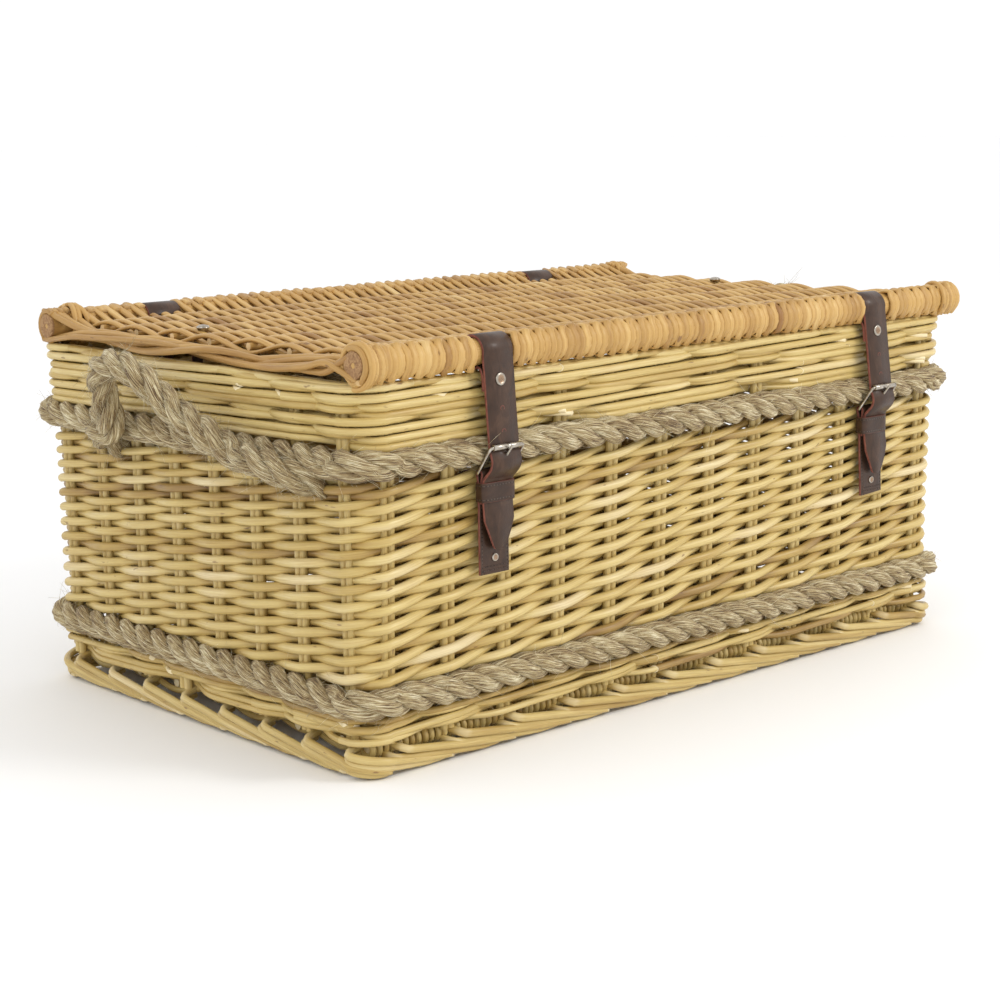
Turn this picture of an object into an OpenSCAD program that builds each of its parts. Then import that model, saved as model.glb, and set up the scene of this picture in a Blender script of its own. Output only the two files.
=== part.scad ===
// Woven willow storage trunk with a hinged lid, rope bands, rope handles and buckled leather straps.
// Millimetres, +Z up. X runs along the trunk, the front faces -Y, and the floor is at Z = 0.

/* [Trunk] */
// Half length of the body at the floor
foot_half_x = 355; // [340:1:370]
// Half length of the body at the rim
rim_half_x = 358; // [343:1:373]
// Half depth of the body at the floor
foot_half_y = 220; // [215:1:225]
// Half depth of the body at the rim
rim_half_y = 229; // [224:1:234]
// Thickness of the woven wall
wall_t = 18; // [16:0.5:20]
// How much each upright corner is cut back
corner_cut = 16; // [12:1:20]

/* [Bands, heights above the floor] */
// Top of the foot border and underside of the base
base_z = 15; // [12:0.5:18]
// Top of the base and bottom of the upsett
upsett_z = 28; // [25:0.5:31]
// Bottom of the lower rope band
low_rope_z = 48; // [44:1:52]
// Bottom of the upper rope band
high_rope_z = 230; // [228:1:234]
// Height of the rim
rim_z = 302.7; // [300:0.1:303]

/* [Rods and rope] */
// Radius of a stake
stake_r = 3.5; // [3:0.1:3.6]
// Half the distance between the two rods of a stake pair
pair_half = 3.9; // [3.8:0.1:4.2]
// Number of stake pairs in the front wall, and in the back wall
long_pairs = 12; // [10:2:12]
// Number of stake pairs in each end wall
end_pairs = 8; // [6:2:8]
// Radius of the rope
rope_r = 12; // [10:0.5:12]

/* [Lid] */
// Radius of the lid's front and back rods
rod_r = 11; // [9:0.5:11]
// Radius of the weave wrapped round those rods
wrap_r = 14; // [13:0.5:14]
// Half length of those rods
rod_half = 368.5; // [364:0.5:372]
// Distance of the front rod in front of the trunk's middle
front_rod_y = 223; // [220:1:226]
// Distance of the back rod behind the trunk's middle
back_rod_y = 205; // [203:1:207]
// Number of rods hidden in the lid's weave
lid_sticks_n = 7; // [5:1:9]

/* [Leather] */
// Width of the straps
strap_w = 30; // [24:1:32]
// Thickness of the strap leather
strap_t = 2.4; // [2:0.1:2.6]
// Place of the left strap along the front
left_strap_x = -229; // [-233:1:-225]
// Place of the right strap along the front
right_strap_x = 236; // [231:1:240]

/* [Hidden] */
$fn = 48;

// The straps make the front deeper than the back, so the whole trunk is moved back by this
// to keep the origin under the middle of its box.
frame_y = 7;

gap = 0.1;              // clearance round a rod in its hole
rope_out = 6;           // how far the rope's middle lies outside the line of stakes
rope_corner_r = 20;     // radius of the rope's middle at a corner
low_rope_mid = low_rope_z + rope_r;
high_rope_mid = high_rope_z + rope_r;
siding_z = low_rope_z + 2 * rope_r;
wale_z = high_rope_z + 2 * rope_r;
stake_foot = 4;
stake_top = rim_z - 4.7;
front_span = 325;       // the outermost pair of a long wall, from the middle
end_span = 196;         // the outermost pair of an end wall, from the middle

stick_r = 4;
outer_stick_r = 5;
outer_stick_y = 198;
base_stick_pitch = 57;
base_stick_half = 337;

rod_z = rim_z + wrap_r + 0.3;
lid_t = 14;
lid_half = 338;         // half length of the lid's plain weave
band_half = 362;        // half length of the lid over its end bands
lid_gap = 1;            // space between the weave and an end band

hinge_x = [-244, 224];
hinge_w = 34;
hinge_t = 2.4;
shaft_gap = 0.06;       // running clearance round a shaft

heel_r = 1.6;
heel_y = -229.4;
heel_z = 224;
roller_y = -245.4;
roller_z = 246;
roller_r = 2.6;
bar_half = 17;          // half the distance between the buckle's side bars
prong_r = 1.3;
prong_tilt = 44.6;      // prong's lean forward from upright
prong_slot = 5.2;
prong_reach = 27;
hole_z = [257, 274.5];
prong_hole_z = [232, 242];
tip_z = 164;

rivet_r = 2;
rivet_head_r = 4.5;
rivet_z = 157.5;
fold_rivet_z = 210;
strap_rivet_z = 296.5;
hinge_rivet_z = 276;

// The closure's layers lie one over another in front of the wall.
keeper_y = [-236.8, -224.8];
keeper_z = [202.5, 217.8];
chape_back_y = -228.1;
chape_front_y = -230.7;
chape_foot_z = 145;
chape_fold_z = 201;
fold_r = heel_r + shaft_gap + strap_t;
backing_y = [-206.3, -204];

stay_x = 314;
stay_w = 10;
stay_t = 2;
stay_wall_y = 60;
stay_wall_z = 268;
stay_lid_y = 30;

handle_x = -378.7;      // the left handle's hinge line
handle_z = 240;
handle_lean = 22;       // the handle's lean outward from upright
handle_arch = [[-101, 0], [-85, 12], [-45, 29], [-15, 54], [19, 69], [49, 59], [67, 34], [73, 0]];
knuckle = 13;           // half length of the round knuckle at each foot of a handle
tail_x = -371.5;
tail_z = 219;
tail_y = [-168, 106];   // where the handle's ends go through the wall
tail_bend_y = [-128, 100];
tail_r = 9;
knot_x = -322.5;
knot_r = 15.8;

willow = "burlywood";
willow_lid = "peru";
hemp = "tan";
hide = "#3b2420";
steel = "silver";

// ---------- helpers ----------

function half_x(z) = foot_half_x + (rim_half_x - foot_half_x) * z / 300;
function half_y(z) = foot_half_y + (rim_half_y - foot_half_y) * z / 300;
function row(n, span) = [for (i = [0:n - 1]) -span + 2 * span * i / (n - 1)];

// A rectangle of half sizes hx, hy with its corners cut by c.
function cut_outline(hx, hy, c) = [
    [hx - c, -hy], [hx, c - hy], [hx, hy - c], [hx - c, hy],
    [c - hx, hy], [-hx, hy - c], [-hx, c - hy], [c - hx, -hy]
];

function unit(v) = v / norm(v);
function left_of(v) = [-v[1], v[0]];
// The direction square to a path at point i, longer where the path bends.
function miter(p, i) =
    let (n = len(p))
    let (a = i == 0 ? unit(p[1] - p[0]) : unit(p[i] - p[i - 1]))
    let (b = i == n - 1 ? a : unit(p[i + 1] - p[i]))
    let (m = unit(left_of(a) + left_of(b)))
    m / (m * left_of(a));
// The outline of a strip of thickness t along path p.
function strip_outline(p, t) = concat(
    [for (i = [0:len(p) - 1]) p[i] + miter(p, i) * t / 2],
    [for (i = [len(p) - 1:-1:0]) p[i] - miter(p, i) * t / 2]
);

module in_frame() translate([0, frame_y, 0]) children();

// A shape drawn in (y, z), extruded to width w about x.
module across(x, w) {
    translate([x - w / 2, 0, 0]) rotate([90, 0, 90]) linear_extrude(w) children();
}

module along_x(x, y, z, half, r) {
    translate([x - half, y, z]) rotate([0, 90, 0]) cylinder(h = 2 * half, r = r);
}

module along_y(x, y0, y1, z, r) {
    translate([x, y0, z]) rotate([-90, 0, 0]) cylinder(h = y1 - y0, r = r);
}

module rod_between(a, b, r) {
    d = b - a;
    translate(a) rotate([0, acos(d[2] / norm(d)), atan2(d[1], d[0])]) cylinder(h = norm(d), r = r);
}

module wall_ring(z0, z1, grow = 0) {
    zm = (z0 + z1) / 2;
    hx = half_x(zm) + grow;
    hy = half_y(zm) + grow;
    inner_cut = corner_cut - wall_t * (2 - sqrt(2));
    translate([0, 0, z0]) linear_extrude(z1 - z0) difference() {
        polygon(cut_outline(hx, hy, corner_cut));
        polygon(cut_outline(hx - wall_t - grow, hy - wall_t - grow, inner_cut));
    }
}

// Pairs of stakes in a long wall (side -1 is the front), and in an end wall (side -1 is the left).
module long_wall_stakes(side, r, ends = 0) {
    for (x = row(long_pairs, front_span), dx = [-pair_half, pair_half])
        rod_between(
            [x + dx, side * (half_y(stake_foot) - wall_t / 2), stake_foot - ends],
            [x + dx, side * (half_y(stake_top) - wall_t / 2), stake_top + ends], r);
}

module end_wall_stakes(side, r, ends = 0) {
    for (y = row(end_pairs, end_span), dy = [-pair_half, pair_half])
        rod_between(
            [side * (half_x(stake_foot) - wall_t / 2), y + dy, stake_foot - ends],
            [side * (half_x(stake_top) - wall_t / 2), y + dy, stake_top + ends], r);
}

module stake_holes() {
    for (side = [-1, 1]) {
        long_wall_stakes(side, stake_r + gap, gap);
        end_wall_stakes(side, stake_r + gap, gap);
    }
}

module rope_ring(zc) {
    cx = half_x(zc) - wall_t / 2 + rope_out;
    cy = half_y(zc) - wall_t / 2 + rope_out;
    r = rope_r - 0.1;
    for (s = [-1, 1]) {
        along_x(0, s * cy, zc, cx - rope_corner_r, r);
        along_y(s * cx, rope_corner_r - cy, cy - rope_corner_r, zc, r);
    }
    for (quarter = [[1, 1, 0], [-1, 1, 90], [-1, -1, 180], [1, -1, 270]])
        translate([quarter[0] * (cx - rope_corner_r), quarter[1] * (cy - rope_corner_r), zc])
            rotate([0, 0, quarter[2]]) rotate_extrude(angle = 90)
                translate([rope_corner_r, 0]) circle(r = r);
}

// A rivet along Y from y0 to y1, with a shallow head outside each end.
module rivet_y(x, y0, y1, z) {
    along_y(x, y0 - 1, y1 + 1, z, rivet_r);
    along_y(x, y0 - 1.4, y0, z, rivet_head_r);
    along_y(x, y1, y1 + 1.4, z, rivet_head_r);
}

// ---------- body ----------

module base_stick_set(r_extra) {
    zc = (base_z + upsett_z) / 2;
    half = base_stick_half + r_extra;
    for (i = [-3:3]) along_x(0, i * base_stick_pitch, zc, half, stick_r + r_extra);
    for (s = [-1, 1]) along_x(0, s * outer_stick_y, zc, half, outer_stick_r + r_extra);
}

module base_sticks() in_frame() color(willow) base_stick_set(0);

module base_weave() in_frame() color(willow) difference() {
    translate([0, 0, base_z]) linear_extrude(upsett_z - base_z)
        polygon(cut_outline(half_x(base_z) - 2, half_y(base_z) - 2, corner_cut));
    base_stick_set(gap);
    stake_holes();
}

module foot_border() in_frame() color(willow) difference() {
    wall_ring(0, base_z, 1);
    stake_holes();
}

module stakes_front() in_frame() color(willow) long_wall_stakes(-1, stake_r);
module stakes_back() in_frame() color(willow) long_wall_stakes(1, stake_r);
module stakes_left() in_frame() color(willow) end_wall_stakes(-1, stake_r);
module stakes_right() in_frame() color(willow) end_wall_stakes(1, stake_r);

module upsett_wale() in_frame() color(willow) difference() {
    wall_ring(upsett_z, low_rope_z);
    stake_holes();
}

module lower_rope_band() in_frame() color(hemp) difference() {
    rope_ring(low_rope_mid);
    stake_holes();
}

module siding_weave() in_frame() color(willow) difference() {
    wall_ring(siding_z, high_rope_z);
    stake_holes();
    for (s = [-1, 1], y = tail_y) along_x(s * 340, y, tail_z, 25, tail_r + gap);
    for (x = [left_strap_x, right_strap_x], z = [rivet_z, fold_rivet_z])
        along_y(x, -240, -190, z, rivet_r + gap);
}

module upper_rope_band() in_frame() color(hemp) difference() {
    rope_ring(high_rope_mid);
    stake_holes();
}

module top_wale() in_frame() color(willow) difference() {
    wall_ring(wale_z, rim_z);
    stake_holes();
    for (x = hinge_x) along_y(x, 190, 240, hinge_rivet_z, rivet_r + gap);
    for (s = [-1, 1]) along_x(s * 338, stay_wall_y, stay_wall_z, 10, rivet_r + gap);
}

// ---------- closures ----------

module chape(x) in_frame() color(hide) difference() {
    union() {
        along_x(x, heel_y, heel_z, strap_w / 2, fold_r);
        across(x, strap_w) {
            translate([chape_back_y - strap_t / 2, chape_foot_z])
                square([strap_t, heel_z - chape_foot_z - 2]);
            translate([chape_front_y - strap_t / 2, chape_fold_z])
                square([strap_t, heel_z - chape_fold_z - 2]);
        }
    }
    along_x(x, heel_y, heel_z, strap_w, heel_r + shaft_gap);
    translate([x - prong_slot / 2, heel_y - 10, heel_z - 3.7]) cube([prong_slot, 20, 12]);
    along_y(x, -237, -217, rivet_z, rivet_r + gap);
    along_y(x, -237, -217, fold_rivet_z, rivet_r + gap);
}
module chape_left() chape(left_strap_x);
module chape_right() chape(right_strap_x);

module keeper(x) in_frame() color(hide) difference() {
    translate([x, 0, keeper_z[0]]) linear_extrude(keeper_z[1] - keeper_z[0]) difference() {
        translate([-strap_w / 2 - 2.1, keeper_y[0]]) square([strap_w + 4.2, keeper_y[1] - keeper_y[0]]);
        translate([-strap_w / 2 - 0.3, keeper_y[0] + 1.8])
            square([strap_w + 0.6, keeper_y[1] - keeper_y[0] - 3.6]);
    }
    along_y(x, keeper_y[1] - 4, keeper_y[1] + 4, fold_rivet_z, rivet_r + gap);
}
module keeper_left() keeper(left_strap_x);
module keeper_right() keeper(right_strap_x);

module chape_rivets() in_frame() color(steel) for (x = [left_strap_x, right_strap_x]) {
    rivet_y(x, chape_back_y - 1.3, backing_y[1] + 0.1, rivet_z);
    along_y(x, chape_front_y - 1.1, backing_y[1] + 0.1, fold_rivet_z, rivet_r);
    along_y(x, backing_y[1] + 0.1, backing_y[1] + 1.5, fold_rivet_z, rivet_head_r);
}

module backing_strips() in_frame() color(hide) for (x = [left_strap_x, right_strap_x]) difference() {
    translate([x - strap_w / 2, backing_y[0], chape_foot_z])
        cube([strap_w, backing_y[1] - backing_y[0], heel_z - chape_foot_z]);
    for (z = [rivet_z, fold_rivet_z]) along_y(x, -212, -197, z, rivet_r + gap);
}

// The strap's middle line in (y, z), from its loop on the lid's front rod down to its tip.
strap_path = [
    [-234.9, rod_z - 5.5], [-240.5, 252], [-241.4, 243],
    [-242.6, 237], [-240, 230], [-235.3, 225.2], [-234.6, 222], [-233.5, 218.2], [-233.4, tip_z]
];
strap_end = [[-229.5, 306.5], [-233.8, 301.5], [-234.9, 291]];

module strap(x) in_frame() color(hide) difference() {
    intersection() {
        union() {
            along_x(x, -front_rod_y, rod_z, strap_w / 2, rod_r + shaft_gap + strap_t);
            across(x, strap_w) {
                polygon(strip_outline(strap_path, strap_t));
                polygon(strip_outline(strap_end, strap_t));
            }
        }
        // the tapered tip, seen from the front
        translate([x, -180, 0]) rotate([90, 0, 0]) linear_extrude(80) polygon([
            [-strap_w / 2, 400], [-strap_w / 2, tip_z + 22], [-5, tip_z],
            [5, tip_z], [strap_w / 2, tip_z + 22], [strap_w / 2, 400]
        ]);
    }
    along_x(x, -front_rod_y, rod_z, strap_w, rod_r + shaft_gap);
    for (z = hole_z) along_y(x, -252, -228, z, 2);
    along_y(x, -245, -225, strap_rivet_z, rivet_r + gap);
    translate([x - 2, -252, prong_hole_z[0]]) cube([4, 27, prong_hole_z[1] - prong_hole_z[0]]);
}
module strap_left() strap(left_strap_x);
module strap_right() strap(right_strap_x);

module strap_rivet(x) in_frame() color(steel) rivet_y(x, -238, -232.5, strap_rivet_z);
module strap_rivet_left() strap_rivet(left_strap_x);
module strap_rivet_right() strap_rivet(right_strap_x);

module buckle_frame(x) in_frame() color(steel) {
    along_x(x, heel_y, heel_z, bar_half + 1, heel_r);
    along_x(x, roller_y, roller_z, bar_half + 1, heel_r);
    rise = norm([roller_y - heel_y, roller_z - heel_z]);
    lean = atan2(heel_y - roller_y, roller_z - heel_z);
    for (s = [-1, 1]) translate([x + s * bar_half, heel_y, heel_z]) rotate([lean, 0, 0])
        translate([-1.3, -1.8, -1.8]) cube([2.6, 3.6, rise + 3.6]);
}
module buckle_frame_left() buckle_frame(left_strap_x);
module buckle_frame_right() buckle_frame(right_strap_x);

module roller(x) in_frame() color(steel) difference() {
    along_x(x, roller_y, roller_z, bar_half - 1.5, roller_r);
    along_x(x, roller_y, roller_z, bar_half, heel_r + shaft_gap);
}
module roller_left() roller(left_strap_x);
module roller_right() roller(right_strap_x);

module prong(x) in_frame() color(steel) difference() {
    union() {
        along_x(x, heel_y, heel_z, 2, 3.3);
        translate([x, heel_y, heel_z]) rotate([prong_tilt, 0, 0]) translate([0, 0, 2.4])
            cylinder(h = prong_reach, r = prong_r);
    }
    along_x(x, heel_y, heel_z, 5, heel_r + shaft_gap);
}
module prong_left() prong(left_strap_x);
module prong_right() prong(right_strap_x);

// ---------- hinges and stays ----------

// Each hinge tail's middle line in (y, z), down the outside and the inside of the back wall.
outer_tail = [[216.4, rod_z - 5.2], [219.5, 309], [227.5, 306], [230.6, 302.5], [230.6, 258]];
inner_tail = [[195.5, 309.5], [201, 305.6], [207.6, 302.2], [208.8, 298.5], [208.8, 258]];

module hinge_loop(x) in_frame() color(hide) difference() {
    union() {
        along_x(x, back_rod_y, rod_z, hinge_w / 2, rod_r + shaft_gap + hinge_t);
        across(x, hinge_w) {
            polygon(strip_outline(outer_tail, hinge_t));
            polygon(strip_outline(inner_tail, hinge_t));
        }
    }
    along_x(x, back_rod_y, rod_z, hinge_w, rod_r + shaft_gap);
    along_y(x, 190, 240, hinge_rivet_z, rivet_r + gap);
}
module hinge_loop_left() hinge_loop(hinge_x[0]);
module hinge_loop_right() hinge_loop(hinge_x[1]);

module hinge_rivets() in_frame() color(steel) for (x = hinge_x) rivet_y(x, 207.5, 231.9, hinge_rivet_z);

// A stay's middle line in (y, z): flat under the lid, then a slack loop to its peg in the wall.
stay_path = [
    [stay_lid_y - 8, 308], [stay_lid_y + 6, 308], [stay_lid_y + 11, 303], [39, 230], [40, 172],
    [43, 161], [50, 156], [57, 161], [60, 172], [61, 230], [stay_wall_y, stay_wall_z - 3]
];

module lid_stay(side) in_frame() color(hide) difference() {
    union() {
        across(side * stay_x, stay_w) polygon(strip_outline(stay_path, stay_t));
        along_x(side * stay_x, stay_wall_y, stay_wall_z, stay_w / 2, rivet_r + gap + stay_t);
    }
    along_x(side * stay_x, stay_wall_y, stay_wall_z, stay_w, rivet_r + gap);
    translate([side * stay_x, stay_lid_y, 300]) cylinder(h = 20, r = rivet_r + gap);
}
module lid_stay_left() lid_stay(-1);
module lid_stay_right() lid_stay(1);

module stay_wall_pegs() in_frame() color(willow) for (s = [-1, 1]) {
    along_x(s * (stay_x + 12.5), stay_wall_y, stay_wall_z, 20.5, rivet_r);
    along_x(s * (stay_x - 8.5), stay_wall_y, stay_wall_z, 1.5, rivet_head_r);
}

module stay_lid_studs() in_frame() color(steel) for (s = [-1, 1])
    translate([s * stay_x, stay_lid_y, 0]) {
        translate([0, 0, 305.6]) cylinder(h = 20, r = rivet_r);
        translate([0, 0, 305.2]) cylinder(h = 1.5, r = 4);
        translate([0, 0, rod_z + lid_t / 2 + 0.1]) cylinder(h = 1.8, r = 5.5);
    }

// ---------- lid ----------

module lid_front_rod() in_frame() color(willow_lid) along_x(0, -front_rod_y, rod_z, rod_half, rod_r);
module lid_back_rod() in_frame() color(willow_lid) along_x(0, back_rod_y, rod_z, rod_half, rod_r);

module lid_stick_set(half, r) {
    pitch = (front_rod_y + back_rod_y) / (lid_sticks_n + 1);
    for (i = [1:lid_sticks_n]) along_x(0, i * pitch - front_rod_y, rod_z, half, r);
}

module lid_sticks() in_frame() color(willow_lid) lid_stick_set(lid_half - 6, stick_r);

// A stretch of lid from x0 to x1: a flat weave wrapped round both rods.
module lid_cloth(x0, x1, t) {
    xm = (x0 + x1) / 2;
    half = (x1 - x0) / 2;
    translate([x0, -front_rod_y, rod_z - t / 2]) cube([x1 - x0, front_rod_y + back_rod_y, t]);
    along_x(xm, -front_rod_y, rod_z, half, wrap_r);
    along_x(xm, back_rod_y, rod_z, half, wrap_r);
}

module rod_bores() {
    along_x(0, -front_rod_y, rod_z, rod_half, rod_r + gap);
    along_x(0, back_rod_y, rod_z, rod_half, rod_r + gap);
}

module lid_weave() in_frame() color(willow_lid) difference() {
    lid_cloth(-lid_half, lid_half, lid_t);
    rod_bores();
    lid_stick_set(lid_half - 6 + gap, stick_r + gap);
    for (x = [left_strap_x, right_strap_x])
        translate([x - strap_w / 2 - 1, -front_rod_y - 20, rod_z - 20]) cube([strap_w + 2, 35, 40]);
    for (x = hinge_x)
        translate([x - hinge_w / 2 - 1, back_rod_y - 15, rod_z - 20]) cube([hinge_w + 2, 35, 40]);
    for (s = [-1, 1]) translate([s * stay_x, stay_lid_y, 300]) cylinder(h = 30, r = rivet_r + gap);
}

module lid_end_band(side) in_frame() color(willow_lid) difference() {
    near = lid_half + lid_gap;
    lid_cloth(side < 0 ? -band_half : near, side < 0 ? -near : band_half, lid_t + 2);
    rod_bores();
}
module lid_end_band_left() lid_end_band(-1);
module lid_end_band_right() lid_end_band(1);

// ---------- rope handles ----------

// A point of the left handle's plane: u along Y, v up the leaning plane.
function arch_point(p) = [handle_x - p[1] * sin(handle_lean), p[0], handle_z + p[1] * cos(handle_lean)];

module rope_handle() {
    last = len(handle_arch) - 1;
    for (i = [0:last - 1])
        rod_between(arch_point(handle_arch[i]), arch_point(handle_arch[i + 1]), rope_r - 0.2);
    for (i = [1:last - 1]) translate(arch_point(handle_arch[i])) sphere(r = rope_r - 0.1);
    for (i = [0, last])
        along_y(handle_x, handle_arch[i][0] - knuckle, handle_arch[i][0] + knuckle, handle_z, rope_r);
}

module rope_tail(knuckle_y, end_y, hole_y) {
    along_y(handle_x, min(knuckle_y, end_y), max(knuckle_y, end_y), handle_z, rope_r - 0.1);
    top = [handle_x, end_y, handle_z];
    low = [tail_x, hole_y, tail_z];
    translate(top) sphere(r = rope_r + 0.2);
    rod_between(top, low, rope_r - 1);
    translate(low) sphere(r = rope_r - 0.4);
    along_x((tail_x + knot_x) / 2, hole_y, tail_z, (knot_x - tail_x) / 2, tail_r);
    translate([knot_x, hole_y, tail_z]) sphere(r = knot_r);
}

module handle_tails() {
    rope_tail(handle_arch[0][0] - knuckle - 0.3, tail_bend_y[0], tail_y[0]);
    rope_tail(handle_arch[len(handle_arch) - 1][0] + knuckle + 0.3, tail_bend_y[1], tail_y[1]);
}

module handle_left() in_frame() color(hemp) rope_handle();
module handle_right() in_frame() color(hemp) mirror([1, 0, 0]) rope_handle();
module handle_tails_left() in_frame() color(hemp) handle_tails();
module handle_tails_right() in_frame() color(hemp) mirror([1, 0, 0]) handle_tails();

base_sticks();
base_weave();
foot_border();
stakes_front();
stakes_back();
stakes_left();
stakes_right();
upsett_wale();
lower_rope_band();
siding_weave();
upper_rope_band();
top_wale();
chape_left();
chape_right();
keeper_left();
keeper_right();
chape_rivets();
backing_strips();
hinge_loop_left();
hinge_loop_right();
hinge_rivets();
lid_stay_left();
lid_stay_right();
stay_wall_pegs();
handle_tails_left();
handle_tails_right();
lid_front_rod();
lid_back_rod();
lid_sticks();
lid_weave();
lid_end_band_left();
lid_end_band_right();
stay_lid_studs();
strap_left();
strap_right();
strap_rivet_left();
strap_rivet_right();
buckle_frame_left();
buckle_frame_right();
roller_left();
roller_right();
prong_left();
prong_right();
handle_left();
handle_right();
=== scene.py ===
"""Looks for a woven willow storage trunk with a hinged lid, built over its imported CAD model."""

import math

import bpy
import numpy as np
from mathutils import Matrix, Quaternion, Vector


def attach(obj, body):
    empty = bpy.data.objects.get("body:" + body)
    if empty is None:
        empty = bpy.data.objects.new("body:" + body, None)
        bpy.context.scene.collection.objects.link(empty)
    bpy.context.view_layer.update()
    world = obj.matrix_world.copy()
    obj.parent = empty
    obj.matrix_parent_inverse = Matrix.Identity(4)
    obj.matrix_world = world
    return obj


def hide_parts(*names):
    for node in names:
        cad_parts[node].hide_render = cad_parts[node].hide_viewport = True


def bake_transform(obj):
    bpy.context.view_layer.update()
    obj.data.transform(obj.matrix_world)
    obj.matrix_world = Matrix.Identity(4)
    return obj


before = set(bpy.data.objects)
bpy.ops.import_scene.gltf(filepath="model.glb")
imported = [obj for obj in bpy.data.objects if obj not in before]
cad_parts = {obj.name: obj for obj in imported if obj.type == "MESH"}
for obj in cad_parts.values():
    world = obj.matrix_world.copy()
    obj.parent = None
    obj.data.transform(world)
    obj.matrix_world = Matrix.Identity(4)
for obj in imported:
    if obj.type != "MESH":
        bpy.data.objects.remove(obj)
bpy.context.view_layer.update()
scene = bpy.context.scene
scene.view_settings.view_transform = "Standard"

# Shapes are worked out in millimetres about the trunk's own middle, which lies this far behind the
# origin of the row frame.
MM = 0.001
FRAME_SHIFT = np.array([0.0, 7.0, 0.0])
X_AXIS = np.array([1.0, 0.0, 0.0])
Y_AXIS = np.array([0.0, 1.0, 0.0])
Z_AXIS = np.array([0.0, 0.0, 1.0])


# ---------- camera and studio ----------

CAMERA_TURN = (-42.27, 10.66, -0.756)  # azimuth, elevation and roll in degrees
CAMERA_AIM = (-0.0099, 0.0119, 0.1418)
CAMERA_DISTANCE = 1.9017
CAMERA_LENS, SENSOR_WIDTH = 73.9, 36.0
LAMP_COLOUR = (1.0, 0.99, 0.97)
LAMPS = (
    # name, place, aim, size, watts
    ("key", (1.3, -2.4, 1.9), (0.0, -0.1, 0.15), (0.9, 0.7), 30),
    ("fill", (-2.5, -0.9, 1.3), (-0.1, 0.0, 0.15), (1.0, 0.8), 6),
)
SKY_STRENGTH = 1.06
FLOOR_HALF = 30


def stand(obj, place, way):
    """Put obj at place, with its -Z along way."""
    scene.collection.objects.link(obj)
    obj.location = place
    obj.rotation_mode = "QUATERNION"
    obj.rotation_quaternion = way.to_track_quat("-Z", "Y")


def make_camera():
    azimuth, elevation, roll = (math.radians(v) for v in CAMERA_TURN)
    level = math.cos(elevation)
    back = Vector((math.sin(azimuth) * level, -math.cos(azimuth) * level, math.sin(elevation)))
    data = bpy.data.cameras.new("camera")
    data.lens, data.sensor_width = CAMERA_LENS, SENSOR_WIDTH
    data.clip_start, data.clip_end = 0.05, 60
    camera = bpy.data.objects.new("camera", data)
    stand(camera, Vector(CAMERA_AIM) + back * CAMERA_DISTANCE, -back)
    camera.rotation_quaternion = camera.rotation_quaternion @ Quaternion((0, 0, 1), roll)
    scene.camera = camera


def make_studio():
    world = bpy.data.worlds.new("world")
    scene.world = world
    world.use_nodes = True
    sky = world.node_tree.nodes["Background"]
    sky.inputs["Color"].default_value = (1.0, 1.0, 1.0, 1)
    sky.inputs["Strength"].default_value = SKY_STRENGTH
    for name, place, aim, size, watts in LAMPS:
        data = bpy.data.lights.new(name, "AREA")
        data.shape = "RECTANGLE"
        data.size, data.size_y = size
        data.energy, data.color = watts, LAMP_COLOUR
        stand(bpy.data.objects.new(name, data), place, Vector(aim) - Vector(place))

    mesh = bpy.data.meshes.new("floor")
    r = FLOOR_HALF
    mesh.from_pydata([(-r, -r, 0), (r, -r, 0), (r, r, 0), (-r, r, 0)], [], [(0, 1, 2, 3)])
    floor = bpy.data.objects.new("floor", mesh)
    scene.collection.objects.link(floor)
    material = bpy.data.materials.new("floor_paper")
    material.use_nodes = True
    shader = material.node_tree.nodes["Principled BSDF"]
    shader.inputs["Base Color"].default_value = (0.95, 0.95, 0.95, 1)
    shader.inputs["Roughness"].default_value = 0.9
    shader.inputs["Specular IOR Level"].default_value = 0.1
    mesh.materials.append(material)


make_camera()
make_studio()


# ---------- materials ----------


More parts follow.
